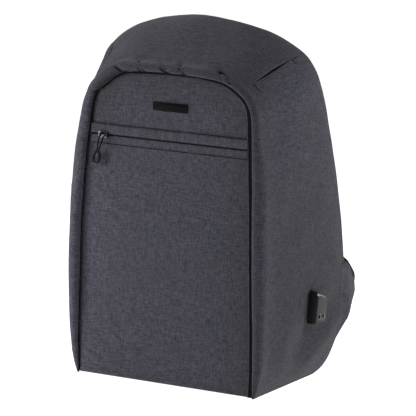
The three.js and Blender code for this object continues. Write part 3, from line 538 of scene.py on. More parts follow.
def besideGroove(share, inside, proud):
    at = max(0.0, min(1.0, share)) * (len(grooveLine) - 1)
    k = min(len(grooveLine) - 2, int(at))
    base = grooveLine[k].lerp(grooveLine[k + 1], at - k)
    run = (grooveLine[k + 1] - grooveLine[k]).normalized()
    spot = base + Vector((run.z, 0, -run.x)) * inside
    spot.z = max(panelLook["least"] * mm, spot.z)
    return frontPlace(spot.x, spot.z, panelProud(spot.x, spot.z) + proud)


# painted shade and light: cloth is darker near the groove, under the left end of the arch and low on the
# sides and back (painted shade), has a painted contact shadow (hem) along its foot, and is lighter near the
# left groove (painted light)
# tables run by x, by height or by the distance behind the front, all in mm
paintedShadingLook = {"reach": 26, "arch": 0.42, "sides": [(-90, -0.55), (60, 0.45)], "high": [(250, 0.0), (350, 1.0)],
            "archShare": [(-116, 0.5), (-98, 1.0)], "front": [(6, 1.0), (20, 0.0)],
            "foot": [(150, 0.26), (350, 0.0)], "hem": 0.55, "footShadowReach": 2.6, "cap": 0.78,
            "shade": [(-114, 0.0), (-104, 0.5), (-84, 0.62), (-66, 0.45), (-56, 0.0)], "shadeReach": 5}


def addPaintedShading(mesh, reachShare=1.0, shaded=False):
    tree = KDTree(len(grooveLine))
    for i, place in enumerate(grooveLine):
        tree.insert((place.x, 0, place.z), i)
    tree.balance()
    layer = mesh.attributes.new("paintedShading", "FLOAT", "POINT")
    for i, vert in enumerate(mesh.vertices):
        x, z = vert.co.x / mm, vert.co.z / mm
        away = tree.find((vert.co.x, 0, vert.co.z))[2] / mm
        high = between(z, paintedShadingLook["high"])
        low = between(x, paintedShadingLook["sides"])
        most = low + (paintedShadingLook["arch"] - low) * high * between(x, paintedShadingLook["archShare"])
        near = most * math.exp(-away / (paintedShadingLook["reach"] * reachShare))
        if shaded:
            near += between(x, paintedShadingLook["shade"]) * high * math.exp(-away / paintedShadingLook["shadeReach"])
        front = between((vert.co.y - frontPlace(0, vert.co.z).y) / mm, paintedShadingLook["front"])
        # foot: painted shade low on the sides and back; hem: a painted contact shadow along the bottom edge
        foot = (1 - front) * between(z, paintedShadingLook["foot"])
        hem = paintedShadingLook["hem"] * math.exp(-z / paintedShadingLook["footShadowReach"])
        layer.data[i].value = min(paintedShadingLook["cap"], foot + hem + near * front)


# sides and hood in one padded shell
shellFolds = [
    ((160, 96, 108), (148, -20, 40), 17, -3.4),
    ((160, 104, 80), (150, 10, 18), 13, 2.6),
    ((158, 80, 190), (161, 104, 132), 12, -2.2),
    ((157, 60, 170), (161, 104, 122), 9, 1.6),
    ((156, 2, 150), (155, 30, 60), 16, -1.4),
    ((150, -20, 110), (146, -40, 10), 15, 1.6),
    ((150, -30, 250), (158, 40, 235), 26, -1.6),
    ((146, -30, 330), (152, 20, 300), 24, 1.4),
    ((-158, 80, 270), (-150, -20, 300), 24, -1.6),
    ((-160, 96, 108), (-150, 10, 40), 17, -2.6),
    ((-144, -70, 60), (-134, -78, 34), 7, -1.2),
    ((-60, 10, 462), (60, 12, 462), 34, -1.6),
    ((-98, -20, 420), (-40, -52, 418), 22, 1.6),
    ((98, -24, 416), (40, -52, 418), 22, 1.6),
]
# the rim's gathers, and its lobe with a ridge at the left end of the arch
rimPuckers = [
    ((-84, -60, 404), (-58, -74, 393), 3.4, -2.4),
    ((-50, -56, 408), (-32, -72, 396), 3.2, -2.0),
    ((-16, -58, 410), (2, -74, 399), 3.2, -2.0),
    ((10, -54, 412), (25, -74, 398), 3.4, -2.4),
    ((64, -54, 408), (87, -72, 394), 3.6, -2.8),
    ((-72, -70, 408), (-48, -74, 402), 4.0, 1.4),
    ((-28, -70, 410), (-12, -74, 404), 4.0, 1.2),
    ((34, -68, 408), (60, -72, 403), 5.0, 1.4),
    ((-122, -62, 359), (-101, -72, 367), 3.6, -2.6),
    ((-110, -67, 370), (-88, -64, 398), 4.2, 1.5),
    ((-94, -64, 394), (-60, -60, 407), 4.2, 1.2),
    ((-115, -57, 375), (-93, -52, 402), 4.6, -1.7),
    ((-94, -52, 401), (-60, -48, 411), 4.6, -1.3),
    ((102, -74, 366), (110, -52, 380), 4.4, -1.0),
]
shellLook = {"crease": 50, "levels": 2, "middle": 220, "rim": 25, "dents": [(0.9, 60, 1), (0.35, 18, 2)],
             "lip": (-7, 1.2), "lipArch": 250, "lipFacing": 0.35, "paintedShadingReach": 0.45}


def makeShell():
    bm = cadCopy("outer_shell")
    creaseSharp(bm, shellLook["crease"], 1.0, floorOnly=True)
    piece = makePiece(bm, "outerShell", bodyCloth, ["outer_shell"], smoothAngle=None)
    mesh = settle(rounded(piece, shellLook["levels"])).data
    normals = [vert.normal.copy() for vert in mesh.vertices]
    for vert, normal in zip(mesh.vertices, normals):
        guess = Vector((vert.co.x, 0, max(0.0, vert.co.z - shellLook["middle"] * mm)))
        onRim = vert.co.y < frontFoot + shellLook["rim"] * mm
        outward = normal if normal.dot(guess) > 0 or onRim else -normal
        behind = (vert.co.y - frontPlace(0, vert.co.z).y) / mm
        pull = pullOf(vert.co) * between(behind, cornerPull["deep"])
        vert.co += outward * foldHeight(vert.co, shellFolds + rimPuckers) + pull
    for amount, size, seed in shellLook["dents"]:
        dent(mesh, amount * mm, size * mm, seed)
    # the rim's lip faces that turn into the groove take the near-black finish: painted shade under the rim
    mesh.materials.append(paintedShadow)
    least, most = (proud * mm for proud in shellLook["lip"])
    for face in mesh.polygons:
        proud = frontPlace(face.center.x, face.center.z).y - face.center.y
        inward = Vector((-face.center.x, 0, -max(0.0, face.center.z - shellLook["lipArch"] * mm)))
        if least < proud < most and face.normal.dot(inward) > shellLook["lipFacing"] * inward.length:
            face.material_index = 1
    # painted shade near the groove, under the arch's left end and low on the sides and back, a painted
    # contact shadow along the foot, and painted light near the left groove
    addPaintedShading(mesh, shellLook["paintedShadingReach"], shaded=True)
    return piece


outerShell = makeShell()
shellSkin = skinOf(outerShell)
print("shell made:", len(outerShell.data.vertices), "points")

# painted shadow: dark strips where cloth folds over cloth, seated on the shell's skin along the camera's gaze
# or its mirror
slitLook = {"before": 0.06, "within": 0.12, "least": 0.03, "taper": 0.8, "steps": 28, "rows": 4}


def seatOnShell(place, side=1):
    gaze = gazeOf(side)
    found = shellSkin.ray_cast(place - gaze * slitLook["before"], gaze, slitLook["within"])
    return found[:2] if found[0] else shellSkin.find_nearest(place)[:2]


def onSkin(points, steps, side=1):
    line = smoothLine([Vector(point) * mm for point in points], steps)
    found = [seatOnShell(place, side) for place in line]
    return [f[0] for f in found], [f[1] for f in found]


def besideSkin(bases, normals, share, across, lift):
    at = max(0.0, min(1.0, share)) * (len(bases) - 1)
    k = min(len(bases) - 2, int(at))
    normal = normals[k].lerp(normals[k + 1], at - k).normalized()
    side = normal.cross((bases[k + 1] - bases[k]).normalized()).normalized()
    return bases[k].lerp(bases[k + 1], at - k) + side * (across * mm) + normal * (lift * mm)


def slitWidth(share, widest, peak):
    part = share / peak if share < peak else (1 - share) / (1 - peak)
    return widest * max(slitLook["least"], part) ** slitLook["taper"]


def addSlit(bm, points, widest, peak, lift, side=1):
    bases, normals = onSkin(points, slitLook["steps"], side)
    clothStrip(bm, slitLook["steps"], slitLook["rows"],
               lambda s, t: besideSkin(bases, normals, s, (t - 0.5) * slitWidth(s, widest, peak), lift))


# dart at each shoulder: the hood's cloth folds over the side's, and the slit under it is a painted shadow
# strip
dartLook = {"line": [(110.3, -44.0, 392.5), (115.1, -32.3, 397.6), (119.8, -19.0, 403.2),
                     (124.2, -4.5, 407.9), (128.2, 13.9, 412.9)],
            "slit": 4.4, "peak": 0.58, "lift": 0.45, "lip": 9, "lipEnds": 0.35, "lipStart": 0.32, "rise": 2.6,
            "above": 0.05, "swell": 0.8, "steps": 36, "rows": 12}
lipRise = [(0.0, 0.1), (0.04, 0.75), (0.12, 1.0), (0.3, 0.86), (0.6, 0.36), (1.0, -0.16)]


def makeDart(side, hand):
    points = [(side * x, y, z) for x, y, z in dartLook["line"]]
    bm = bmesh.new()
    addSlit(bm, points, dartLook["slit"], dartLook["peak"], dartLook["lift"], side)
    makePiece(bm, "dartSlitShadow" + hand, paintedShadow, smoothAngle=None)
    bases, normals = onSkin(points, dartLook["steps"], side)
    bm = bmesh.new()

    def placeOf(share, across):
        swell = math.sin(math.pi * max(0.0, min(1.0, share))) ** dartLook["swell"]
        start = dartLook["lipStart"] * slitWidth(share, dartLook["slit"], dartLook["peak"])
        wide = dartLook["lip"] * (dartLook["lipEnds"] + (1 - dartLook["lipEnds"]) * swell)
        rise = between(across, lipRise) * dartLook["rise"] * swell + dartLook["above"]
        return besideSkin(bases, normals, share, side * (start + across * wide), rise)

    clothStrip(bm, dartLook["steps"], dartLook["rows"], placeOf)
    if side < 0:
        bmesh.ops.reverse_faces(bm, faces=bm.faces)
    makePiece(bm, "dartLip" + hand, bodyCloth, smoothAngle=None)


# painted shadows of small folds that the rim's gathering leaves along the arch: a line of places and its
# width, in mm
creaseShadowLook = {"peak": 0.68, "lift": 0.25}
rimCreaseShadows = [
    ([(-79, -64, 399), (-68, -69, 395.5), (-55, -70.5, 391)], 2.8),
    ([(-45, -67, 400), (-38, -69, 397.5), (-30, -70, 393)], 2.5),
    ([(-14, -66, 403), (-6, -69, 400.5), (4, -70, 396)], 2.6),
    ([(13, -64, 405), (20, -68, 401.5), (27, -70.5, 396)], 3.0),
    ([(67, -60, 403.5), (78, -66, 398.5), (90, -68, 391)], 3.3),
    ([(-117, -64, 361.5), (-109, -68.5, 364.4), (-100, -66, 366.5)], 3.6),
]


def makeRimCreaseShadows():
    bm = bmesh.new()
    for points, width in rimCreaseShadows:
        addSlit(bm, points, width, creaseShadowLook["peak"], creaseShadowLook["lift"])
    makePiece(bm, "rimCreaseShadows", paintedShadow, smoothAngle=None)


makeRimCreaseShadows()

# painted highlight: a pale raised strip along a crease ridge across the left rim
creaseHighlightLook = {"lines": [((-127.5, -79.0, 268.0), (-119.6, -68.0, 278.6)),
                      ((-125.5, -80.0, 265.5), (-119.2, -68.5, 275.4))],
            "width": 0.8, "lift": 0.25, "crown": 0.3, "steps": 12, "rows": 2}


def makeRimCreaseHighlight():
    bm = bmesh.new()
    for start, end in creaseHighlightLook["lines"]:
        middle = (Vector(start) + Vector(end)) / 2
        bases, normals = onSkin([start, middle, end], creaseHighlightLook["steps"])

        def placeOf(share, across):
            lift = creaseHighlightLook["lift"] + creaseHighlightLook["crown"] * math.sin(math.pi * across)
            return besideSkin(bases, normals, share, (across - 0.5) * creaseHighlightLook["width"], lift)

        clothStrip(bm, creaseHighlightLook["steps"], creaseHighlightLook["rows"], placeOf)
    makePiece(bm, "rimCreaseHighlight", paintedCreaseHighlight, smoothAngle=None)


makeRimCreaseHighlight()

# short bars of dense stitches close both ends of the dart
bartackLook = {"pitch": 0.8, "length": 1.0, "thread": 0.5, "rows": 2, "spacing": 0.6, "steps": 10,
               "bars": [((109.1, -46.9, 391.4), (118.2, -46.2, 382.7)),
                        ((128.8, 16.2, 413.2), (134.7, 19.1, 407.5)),
                        ((128.8, 16.2, 413.2), (130.7, 29.2, 415.3))]}


def makeBartacks(side, hand):
    bm = bmesh.new()
    pitch, length, thread = (bartackLook[key] * mm for key in ("pitch", "length", "thread"))
    steps = bartackLook["steps"]
    for start, end in bartackLook["bars"]:
        first, last = (Vector((side * p[0], p[1], p[2])) * mm for p in (start, end))
        normal = seatOnShell(first, side)[1]
        across = normal.cross((last - first).normalized()).normalized()
        for row in range(bartackLook["rows"]):
            shift = across * ((row - 1) * bartackLook["spacing"] * mm)
            line = [first.lerp(last, i / steps) + shift for i in range(steps + 1)]
            found = [seatOnShell(p, side) for p in line]
            stitchRow(bm, [f[0] for f in found], [f[1] for f in found], pitch, length, thread)
    makePiece(bm, "dartBartacks" + hand, darkThread, smoothAngle=None)


for side, hand in ((-1, "Left"), (1, "Right")):
    makeDart(side, hand)
    makeBartacks(side, hand)
print("shoulder darts made")


# front panel: padded cloth with soft tension dents
def makePanel():
    bm = cadCopy("front_panel", quads=False)
    cutStrips(bm, 0, panelLook["pitch"] * mm)
    cutStrips(bm, 2, panelLook["pitch"] * mm)
    for vert in bm.verts:
        proud = frontPlace(vert.co.x, vert.co.z).y - vert.co.y
        if abs(proud) < panelLook["flat"] * mm:
            vert.co.y -= panelProud(vert.co.x, vert.co.z)
    piece = makePiece(bm, "frontPanel", bodyCloth, ["front_panel"], smoothAngle=30)
    # painted shade near the groove, a painted contact shadow along the foot, and painted light near the left
    # groove
    addPaintedShading(piece.data)


makePanel()

# painted shadow: a dark strip in the groove, and the panel's turned edge beside it on the right
edgeRidge = {"width": 1.7, "rise": 0.9, "from": 0.62, "over": 0.3, "above": 0.1, "steps": 120, "rows": 6}


def makeGroove():
    bm = bmesh.new()

    def darkPlace(share, across):
        x = besideGroove(share, 0, 0).x / mm
        wave = noise.noise(Vector((0, 0, share * grooveLook["pace"])))
        width = between(x, grooveLook["dark"])
        width *= 1 + grooveLook["uneven"] * wave * between(x, grooveLook["unevenShare"])
        inside = across * (width + grooveLook["lap"]) - grooveLook["lap"]
        return besideGroove(share, inside * mm, grooveLook["proud"] * mm)

    clothStrip(bm, grooveLook["steps"], grooveLook["rows"], darkPlace)
    makePiece(bm, "grooveShadow", paintedShadow, smoothAngle=None)
    bm = bmesh.new()

    def ridgePlace(share, across):
        along = edgeRidge["from"] + share * (1 - edgeRidge["from"])
        start = between(besideGroove(along, 0, 0).x / mm, grooveLook["dark"]) - edgeRidge["over"]
        rise = edgeRidge["rise"] * math.sin(math.pi * across) * min(1.0, 6 * share)
        inside = start + across * edgeRidge["width"]
        return besideGroove(along, inside * mm, (rise + edgeRidge["above"]) * mm)

    clothStrip(bm, edgeRidge["steps"], edgeRidge["rows"], ridgePlace)
    makePiece(bm, "panelEdgeFold", bodyCloth, smoothAngle=None)


makeGroove()

# stitched cloth bands above and below the zip, heights in mm from the zip's middle
weltLook = {"zip": 311.5, "above": 14, "below": 11.5, "proud": 1.4, "nearZip": 3.4, "closer": 0.85,
            "edge": 0.35, "pitch": 5, "wave": 0.25, "waveSize": 16}
foldShadowLook = {"half": 111.5, "inset": 0.3, "width": 0.9, "proud": 0.12, "steps": 60}
seamLook = {"half": 110, "inset": 1.8, "thick": 0.6, "steps": 60}


def makeWelt(node, name):
    bm = cadCopy(node, quads=False)
    bmesh.ops.dissolve_limit(bm, angle_limit=flatAngle, verts=bm.verts, edges=bm.edges)
    bevelSharp(bm, weltLook["edge"] * mm, 2)
    cutStrips(bm, 0, weltLook["pitch"] * mm)
    for vert in bm.verts:
        away = vert.co.z / mm - weltLook["zip"]
        if abs(away) < weltLook["nearZip"]:
            vert.co.z -= math.copysign(weltLook["closer"], away) * mm
        wave = noise.noise(Vector((vert.co.x, 0, vert.co.z)) / (weltLook["waveSize"] * mm))
        vert.co.y += weltLook["wave"] * mm * wave
    makePiece(bm, name, bodyCloth, [node], smoothAngle=30)


def makeSeam(name, z, pitch, length):
    bm = bmesh.new()
    steps, half = seamLook["steps"], seamLook["half"] * mm
    places = [frontPlace((2 * i / steps - 1) * half, z * mm, weltLook["proud"] * mm)
              for i in range(steps + 1)]
    stitchRow(bm, places, [frontNormal] * (steps + 1), pitch * mm, length * mm, seamLook["thick"] * mm)
    makePiece(bm, name, darkThread, smoothAngle=None)


# a painted shadow line along a welt's folded edge
def makeFoldShadow(name, z):
    bm = bmesh.new()

    def placeOf(share, across):
        height = z + (across - 0.5) * foldShadowLook["width"]
        return frontPlace((2 * share - 1) * foldShadowLook["half"] * mm, height * mm,
                          (weltLook["proud"] + foldShadowLook["proud"]) * mm)

    clothStrip(bm, foldShadowLook["steps"], 1, placeOf)
    makePiece(bm, name, paintedShadow, smoothAngle=None)


makeWelt("upper_welt", "upperWelt")
makeWelt("lower_welt", "lowerWelt")
weltTop, weltFoot = weltLook["zip"] + weltLook["above"], weltLook["zip"] - weltLook["below"]
makeFoldShadow("upperWeltFoldShadow", weltTop - foldShadowLook["inset"])
makeFoldShadow("lowerWeltFoldShadow", weltFoot + foldShadowLook["inset"])
makeSeam("upperWeltStitches", weltTop - seamLook["inset"], 3.0, 2.5)
makeSeam("lowerWeltStitches", weltFoot + seamLook["inset"], 3.4, 2.2)

# pocket zip: tape and a closed coil of teeth
zipLook = {"half": 110.4, "pitch": 1.7, "tooth": (1.0, 0.8, 1.7), "lean": 14, "sunk": 0.1}


def makePocketZip():
    bm = cadCopy("pocket_zip", quads=False)
    tapeFaces = len(bm.faces)
    count = int(2 * zipLook["half"] / zipLook["pitch"])
    wide, deep, tall = (part * mm / 2 for part in zipLook["tooth"])
    for i in range(count):
        x = (i - (count - 1) / 2) * zipLook["pitch"]
        place = Matrix.Translation(frontPlace(x * mm, weltLook["zip"] * mm, -zipLook["sunk"] * mm))
        lean = Matrix.Rotation(math.radians(zipLook["lean"] if i % 2 else -zipLook["lean"]), 4, "Y")
        bmesh.ops.create_icosphere(bm, subdivisions=1, radius=1.0,
                                   matrix=place @ lean @ Matrix.Diagonal((wide, deep, tall, 1)))
    for i, face in enumerate(bm.faces):
        face.material_index = 0 if i < tapeFaces else 1
    makePiece(bm, "pocketZip", [zipTape, coilPlastic], ["pocket_zip"], 35)


makePocketZip()
makePiece(hardCopy("zip_slider", 0.38 * mm), "zipSlider", brightMetal, ["zip_slider"], 60)
print("front pocket made")

# puller: a braided cord loop with a moulded ring at its end
# the route goes round the slider's bridge: share across, drop in mm, share in front
cordLook = {"diameter": 1.7, "sides": 14, "steps": 90, "wide": 2, "lean": -5.5, "drop": 20.6, "braid": 0.06,
            "strands": 4, "twist": 1.1, "weld": 5e-5}
cordRoute = [(-0.5, 19.9, 0.5), (-0.75, 15, 0.62), (-0.95, 8, 0.95), (-0.8, 2, 1.0), (-0.5, -1.2, 1.0),
             (-0.25, -3.2, 0.84), (0.0, -3.8, 0.5), (0.25, -3.2, 0.16), (0.5, -1.2, 0.0), (0.8, 1.6, 0.0),
             (0.95, 6.5, 0.04), (0.75, 15, 0.38), (0.5, 19.9, 0.5)]
sliderLook = {"x": -93.0, "proud": 1.8, "body": 2.4, "halfWindow": 1.2, "bridge": 1.2,
              "halfCord": 0.8, "gap": 0.4}


def cordPlaces():
    height = weltLook["zip"]
    back = frontPlace(0, height * mm).y / mm - sliderLook["proud"] - sliderLook["body"]
    back -= sliderLook["halfWindow"]
    front = back - sliderLook["halfWindow"] - sliderLook["bridge"]
    front -= sliderLook["halfCord"] + sliderLook["gap"]
    places = []
    for across, down, forward in cordRoute:
        x = sliderLook["x"] + across * cordLook["wide"] + cordLook["lean"] * max(0, down) / cordLook["drop"]
        places.append(Vector((x, back + (front - back) * forward, height - down)) * mm)
    return smoothLine(places, cordLook["steps"])


def makePullerCord():
    line = cordPlaces()
    bm = bmesh.new()
    sides, steps = cordLook["sides"], cordLook["steps"]

    def placeOf(share, turn):
        k = min(steps, round(share * steps))
        run = (line[min(steps, k + 1)] - line[max(0, k - 1)]).normalized()
        first = run.cross(Vector((1, 0, 0))).normalized()
        second = run.cross(first)
        angle = 2 * math.pi * turn
        braid = 1 + cordLook["braid"] * math.cos(cordLook["strands"] * angle + k * cordLook["twist"])
        radius = cordLook["diameter"] / 2 * mm * braid
        return line[k] + (first * math.cos(angle) + second * math.sin(angle)) * radius

    clothStrip(bm, steps, sides, placeOf)
    bmesh.ops.remove_doubles(bm, verts=bm.verts, dist=cordLook["weld"])
    bmesh.ops.holes_fill(bm, edges=[e for e in bm.edges if e.is_boundary], sides=sides + 2)
    bmesh.ops.recalc_face_normals(bm, faces=bm.faces)
    piece = makePiece(bm, "pullerCord", cordWeave, ["puller_cord"], None)
    length = sum((b - a).length for a, b in zip(line, line[1:]))
    return piece, line, length


pullerCord, cordLine, cordLength = makePullerCord()
tuple(cordLine[0])
[tuple(p) for p in cordLine]
tipLook = {"edge": 0.4, "flat": 0.97, "wall": 2.2}


def makePullerTip():
    bm = hardCopy("puller_tip", tipLook["edge"] * mm, 2)
    bm.normal_update()
    ends = []
    for side in (-1, 1):
        flat = [face for face in bm.faces if face.normal.y * side > tipLook["flat"]]
        ends += bmesh.ops.dissolve_faces(bm, faces=flat, use_verts=True)["region"]
    for end in ends:
        bmesh.ops.inset_region(bm, faces=[end], thickness=tipLook["wall"] * mm, use_even_offset=True)
    holeEdges = [edge for end in ends for edge in end.edges]
    bmesh.ops.delete(bm, geom=ends, context="FACES_ONLY")
    bmesh.ops.bridge_loops(bm, edges=holeEdges)
    bmesh.ops.recalc_face_normals(bm, faces=bm.faces)
    makePiece(bm, "pullerTip", coilPlastic, ["puller_tip"], 40)


makePullerTip()

# bare glossy plate
makePiece(hardCopy("name_plate", 0.45 * mm, 4), "namePlate", glossBlack, ["name_plate"], 60)
print("puller and plate made, cord", round(cordLength / mm, 1), "mm")

# charging port: black hood, grey outer face with a pale edge, two small sockets low on it
portLook = {"edge": 0.55, "outward": (0.989, 0.0, -0.148), "faceShare": 0.95, "faceFrom": 167,
            "edgeShare": 0.45, "edgeTurn": 0.15, "socket": (1.0, 5.0, 6.8), "socketY": (20.0, 27.5),
            "socketZ": 88.0, "border": 0.6, "sunk": 0.35}


def makePort():
    bm = hardCopy("port_housing", portLook["edge"] * mm, 3)
    bm.normal_update()
    for face in bm.faces:
        outward = face.normal.dot(Vector(portLook["outward"]))
        turn = max(face.normal.z, face.normal.y)
        if outward > portLook["faceShare"] and face.calc_center_median().x > portLook["faceFrom"] * mm:
            face.material_index = 1
        elif outward > portLook["edgeShare"] and turn > portLook["edgeTurn"]:
            face.material_index = 2
    finishes = [mouldedPlastic, greyFace, paleEdge]
    skin = skinOf(makePiece(bm, "portHousing", finishes, ["port_housing"], 40))
    bm = bmesh.new()
    deep, wide, tall = (part * mm for part in portLook["socket"])
    for y in portLook["socketY"]:
        start = Vector((0.25, y * mm, portLook["socketZ"] * mm))
        seat, normal = skin.ray_cast(start, Vector((-1, 0, 0)))[:2]
        turn = frameOf(Vector((0, 0, 1)), normal).to_4x4()
        made = bmesh.ops.create_cube(bm, size=1.0, matrix=Matrix.Translation(seat) @ turn
                                     @ Matrix.Diagonal((tall, wide, deep, 1.0)))
        outer = max({face for vert in made["verts"] for face in vert.link_faces},
                    key=lambda face: face.calc_center_median().dot(normal))
        outer.normal_update()
        bmesh.ops.inset_region(bm, faces=[outer], thickness=portLook["border"] * mm, use_even_offset=True)
        bmesh.ops.translate(bm, verts=outer.verts[:], vec=-normal * portLook["sunk"] * mm)
        # the sunk face takes the near-black finish: painted shade of the deep opening, which is also dark
        # inside
        outer.material_index = 1
    makePiece(bm, "portSockets", [paleEdge, paintedShadow], smoothAngle=40)


makePort()
print("port made")

# base, lower back and the panel against the wearer
makePiece(cadCopy("base_board"), "baseBoard", baseCloth, ["base_board"], 40)
lowerBackLook = {"pitch": 10, "dent": (0.5, 40, 5), "foot": [(8, 8.0), (24, 0.0)],
                 "ends": [(98, 0.0), (106, 1.0)]}


# its foot reaches out at both ends to meet the rounded shell
def makeLowerBack():
    bm = cadCopy("lower_back", quads=False)
    cutStrips(bm, 0, lowerBackLook["pitch"] * mm)
    piece = makePiece(bm, "lowerBack", baseCloth, ["lower_back"], 40)
    amount, size, seed = lowerBackLook["dent"]
    dent(piece.data, amount * mm, size * mm, seed)
    for vert in piece.data.vertices:
        foot = between(vert.co.z / mm, lowerBackLook["foot"])
        foot *= between(abs(vert.co.x / mm), lowerBackLook["ends"])
        vert.co.x += math.copysign(foot, vert.co.x) * mm


makeLowerBack()
backLook = {"pitch": 6, "channel": 4.2, "facing": 0.5, "soft": 1.8}
backChannels = [{"x": 0.0, "half": 13}, {"z": 160.0, "half": 7}, {"z": 240.0, "half": 7},
                {"z": 320.0, "half": 7}]


def makeBackPanel():
    bm = cadCopy("back_panel", quads=False)
    cutStrips(bm, 0, backLook["pitch"] * mm)
    cutStrips(bm, 2, backLook["pitch"] * mm)
    bm.normal_update()
    for vert in bm.verts:
        if vert.normal.y < backLook["facing"]:
            continue
        x, z = vert.co.x / mm, vert.co.z / mm
        deep = 0.0
        for channel in backChannels:
            away = abs(x - channel["x"]) if "x" in channel else abs(z - channel["z"])
            deep = max(deep, 1 / (1 + math.exp((away - channel["half"]) / backLook["soft"])))
        vert.co.y -= deep * backLook["channel"] * mm
    return rounded(makePiece(bm, "backPanel", airMesh, ["back_panel"], None), 1)


backPanel = makeBackPanel()

# closed zip round the back panel: its teeth follow the middle of the tape, seen from a centre
mainZip = makePiece(cadCopy("main_zip"), "mainZip", zipTape, ["main_zip"], 40)
mainZipLook = {"pitch": 2.4, "tooth": (1.3, 3.0, 1.1), "rise": 0.25, "centre": 190, "slices": 96,
               "ends": 0.985, "blur": 0.05}


def tapeMiddle():
    places = [vert.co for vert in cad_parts["main_zip"].data.vertices]
    centre = mainZipLook["centre"] * mm
    turns = [math.atan2(place.x, place.z - centre) for place in places]
    most = max(turns)
    line = []
    for i in range(mainZipLook["slices"] + 1):
        turn = (2 * i / mainZipLook["slices"] - 1) * most * mainZipLook["ends"]
        weights = [math.exp(-((one - turn) / mainZipLook["blur"]) ** 2) for one in turns]
        reach = sum(w * math.hypot(p.x, p.z - centre) for w, p in zip(weights, places)) / sum(weights)
        line.append(Vector((math.sin(turn) * reach, 0, centre + math.cos(turn) * reach)))
    return line


def makeMainTeeth():
    line = tapeMiddle()
    skin = skinOf(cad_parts["main_zip"])
    long, wide, deep = (part * mm / 2 for part in mainZipLook["tooth"])
    size = Matrix.Diagonal((long, wide, deep, 1.0))
    bm = bmesh.new()
    walked = 0.0
    for behind, ahead in zip(line, line[1:]):
        run = ahead - behind
        while walked < run.length:
            spot = behind + run * (walked / run.length)
            seat, normal = skin.ray_cast(Vector((spot.x, 0.2, spot.z)), Vector((0, -1, 0)))[:2]
            walked += mainZipLook["pitch"] * mm
            if seat is None:
                continue
            place = Matrix.Translation(seat + normal * mainZipLook["rise"] * mm)
            bmesh.ops.create_icosphere(bm, subdivisions=1, radius=1.0,
                                       matrix=place @ frameOf(run, normal).to_4x4() @ size)
        walked -= run.length
    makePiece(bm, "mainZipTeeth", coilPlastic, smoothAngle=None)


makeMainTeeth()
for hand in ("left", "right"):
    makePiece(hardCopy("main_zip_slider_" + hand, 0.6 * mm), "mainZipSlider" + hand.title(), darkMetal,
              ["main_zip_slider_" + hand], 60)
print("back made")

# side pocket with a gathered elastic hem
pocketLook = {"crease": 60, "clothCrease": 0.6, "hemCrease": 0.5}


def makePocket():
    cloth = cadCopy("side_pocket")
    creaseSharp(cloth, pocketLook["crease"], pocketLook["clothCrease"])
    rounded(makePiece(cloth, "sidePocket", bodyCloth, ["side_pocket"], smoothAngle=None), 1)
    hem = cadCopy("side_pocket_hem")
    creaseSharp(hem, pocketLook["crease"], pocketLook["hemCrease"])
    rounded(makePiece(hem, "sidePocketHem", elasticCloth, ["side_pocket_hem"], None), 2)


makePocket()
handle = cadCopy("grab_handle")
rounded(makePiece(handle, "grabHandle", webbingCloth, ["grab_handle"], None), 2)
print("pocket and handle made")

# wings: triangles flush with the shell at the root, their lower corners drawn down along it
wingLook = {"edge": 0.8, "edgeAngle": 50, "pitch": 8, "lowHeights": [(60, 1.0), (84, 0.0)],
            "lowDepths": [(94, 1.0), (128, 0.0)], "forward": 1, "down": 19, "root": [(94, 1.0), (112, 0.0)],
            "flush": 0.2, "dent": (0.6, 26, 7)}


def makeWing(side, hand):
    bm = cadCopy("strap_wing_" + hand, quads=False)
    bmesh.ops.dissolve_limit(bm, angle_limit=math.radians(1), verts=bm.verts, edges=bm.edges)
    bevelSharp(bm, wingLook["edge"] * mm, 3, wingLook["edgeAngle"])
    cutStrips(bm, 1, wingLook["pitch"] * mm)
    cutStrips(bm, 2, wingLook["pitch"] * mm)
    for vert in bm.verts:
        low = between(vert.co.z / mm, wingLook["lowHeights"]) * between(vert.co.y / mm, wingLook["lowDepths"])
        vert.co += Vector((0, -wingLook["forward"] * low, -wingLook["down"] * low)) * mm
        root = between(vert.co.y / mm, wingLook["root"])
        start = Vector((0.3 * side, vert.co.y, vert.co.z))
        hit = shellSkin.ray_cast(start, Vector((-side, 0, 0)))[0]
        if hit and root > 0:
            reach = abs(vert.co.x)
            flush = abs(hit.x) + wingLook["flush"] * mm
            vert.co.x = side * (reach + (min(flush, reach) - reach) * root)
    piece = makePiece(bm, "strapWing" + hand.title(), bodyCloth, ["strap_wing_" + hand], smoothAngle=30)
    amount, size, seed = wingLook["dent"]
    dent(piece.data, amount * mm, size * mm, seed)


# shoulder straps, locks and webbing
def makeStrap(hand):
    piece = makePiece(cadCopy("shoulder_strap_" + hand), "shoulderStrap" + hand.title(), airMesh,
                      ["shoulder_strap_" + hand], None)
    piece = rounded(piece, 2)
    makePiece(hardCopy("ladder_lock_" + hand, 0.7 * mm), "ladderLock" + hand.title(), mouldedPlastic,
              ["ladder_lock_" + hand], 50)
    web = cadCopy("strap_webbing_" + hand)
    creaseSharp(web, 60, 0.8)
    rounded(makePiece(web, "strapWebbing" + hand.title(), webbingCloth, ["strap_webbing_" + hand],
                      None), 2)


for side, hand in ((-1, "left"), (1, "right")):
    makeWing(side, hand)
    makeStrap(hand)
print("straps made")

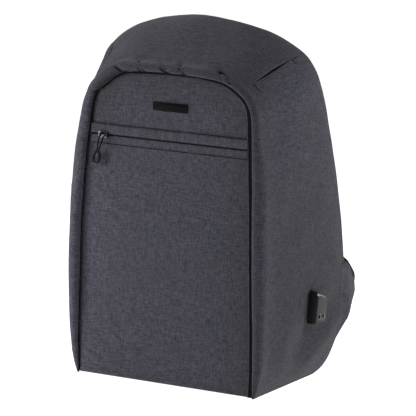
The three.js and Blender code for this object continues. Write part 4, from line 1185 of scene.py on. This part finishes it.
# studio
studioLook = {"world": 0.16, "floor": (0.86, 0.86, 0.87), "grain": (0.88, 0.88, 0.88), "rough": 0.9,
              "glow": 0.85, "size": 30, "below": 0.4, "aim": (0, 0.02, 0.22)}
lamps = [
    {"name": "keyLamp", "at": (-1.12, -0.66, 0.62), "size": 0.5, "power": 19},
    {"name": "rightLamp", "at": (1.7, 0.3, 1.5), "size": 0.8, "power": 31},
]


def makeStudio():
    bm = bmesh.new()
    bmesh.ops.create_grid(bm, x_segments=8, y_segments=8, size=studioLook["size"])
    bmesh.ops.translate(bm, verts=bm.verts, vec=(0, 0, -studioLook["below"] * mm))
    mesh = bpy.data.meshes.new("studioFloor")
    bm.to_mesh(mesh)
    bm.free()
    material, tree, shader = newMaterial("studioPaper")
    grain = streaks(tree, objectPlace(tree), (3, 3, 3), 2.0)
    paper = blendColours(tree, grain, studioLook["floor"], studioLook["grain"])
    tree.links.new(paper, shader.inputs["Base Color"])
    shader.inputs["Roughness"].default_value = studioLook["rough"]
    shader.inputs["Emission Color"].default_value = (1.0, 1.0, 1.0, 1.0)
    shader.inputs["Emission Strength"].default_value = studioLook["glow"]
    mesh.materials.append(material)
    floor = bpy.data.objects.new("studioFloor", mesh)
    scene.collection.objects.link(floor)
    world = bpy.data.worlds.new("studioWorld")
    world.use_nodes = True
    back = world.node_tree.nodes["Background"]
    back.inputs["Color"].default_value = (1.0, 1.0, 1.0, 1.0)
    back.inputs["Strength"].default_value = studioLook["world"]
    scene.world = world
    for lamp in lamps:
        data = bpy.data.lights.new(lamp["name"], "AREA")
        data.shape = "DISK"
        data.size = lamp["size"]
        data.energy = lamp["power"]
        light = bpy.data.objects.new(lamp["name"], data)
        light.location = lamp["at"]
        aim = Vector(studioLook["aim"]) - Vector(lamp["at"])
        light.rotation_mode = "QUATERNION"
        light.rotation_quaternion = aim.to_track_quat("-Z", "Y")
        scene.collection.objects.link(light)
    scene.view_settings.view_transform = "Standard"
    scene.view_settings.look = "None"


makeStudio()
print("studio made")
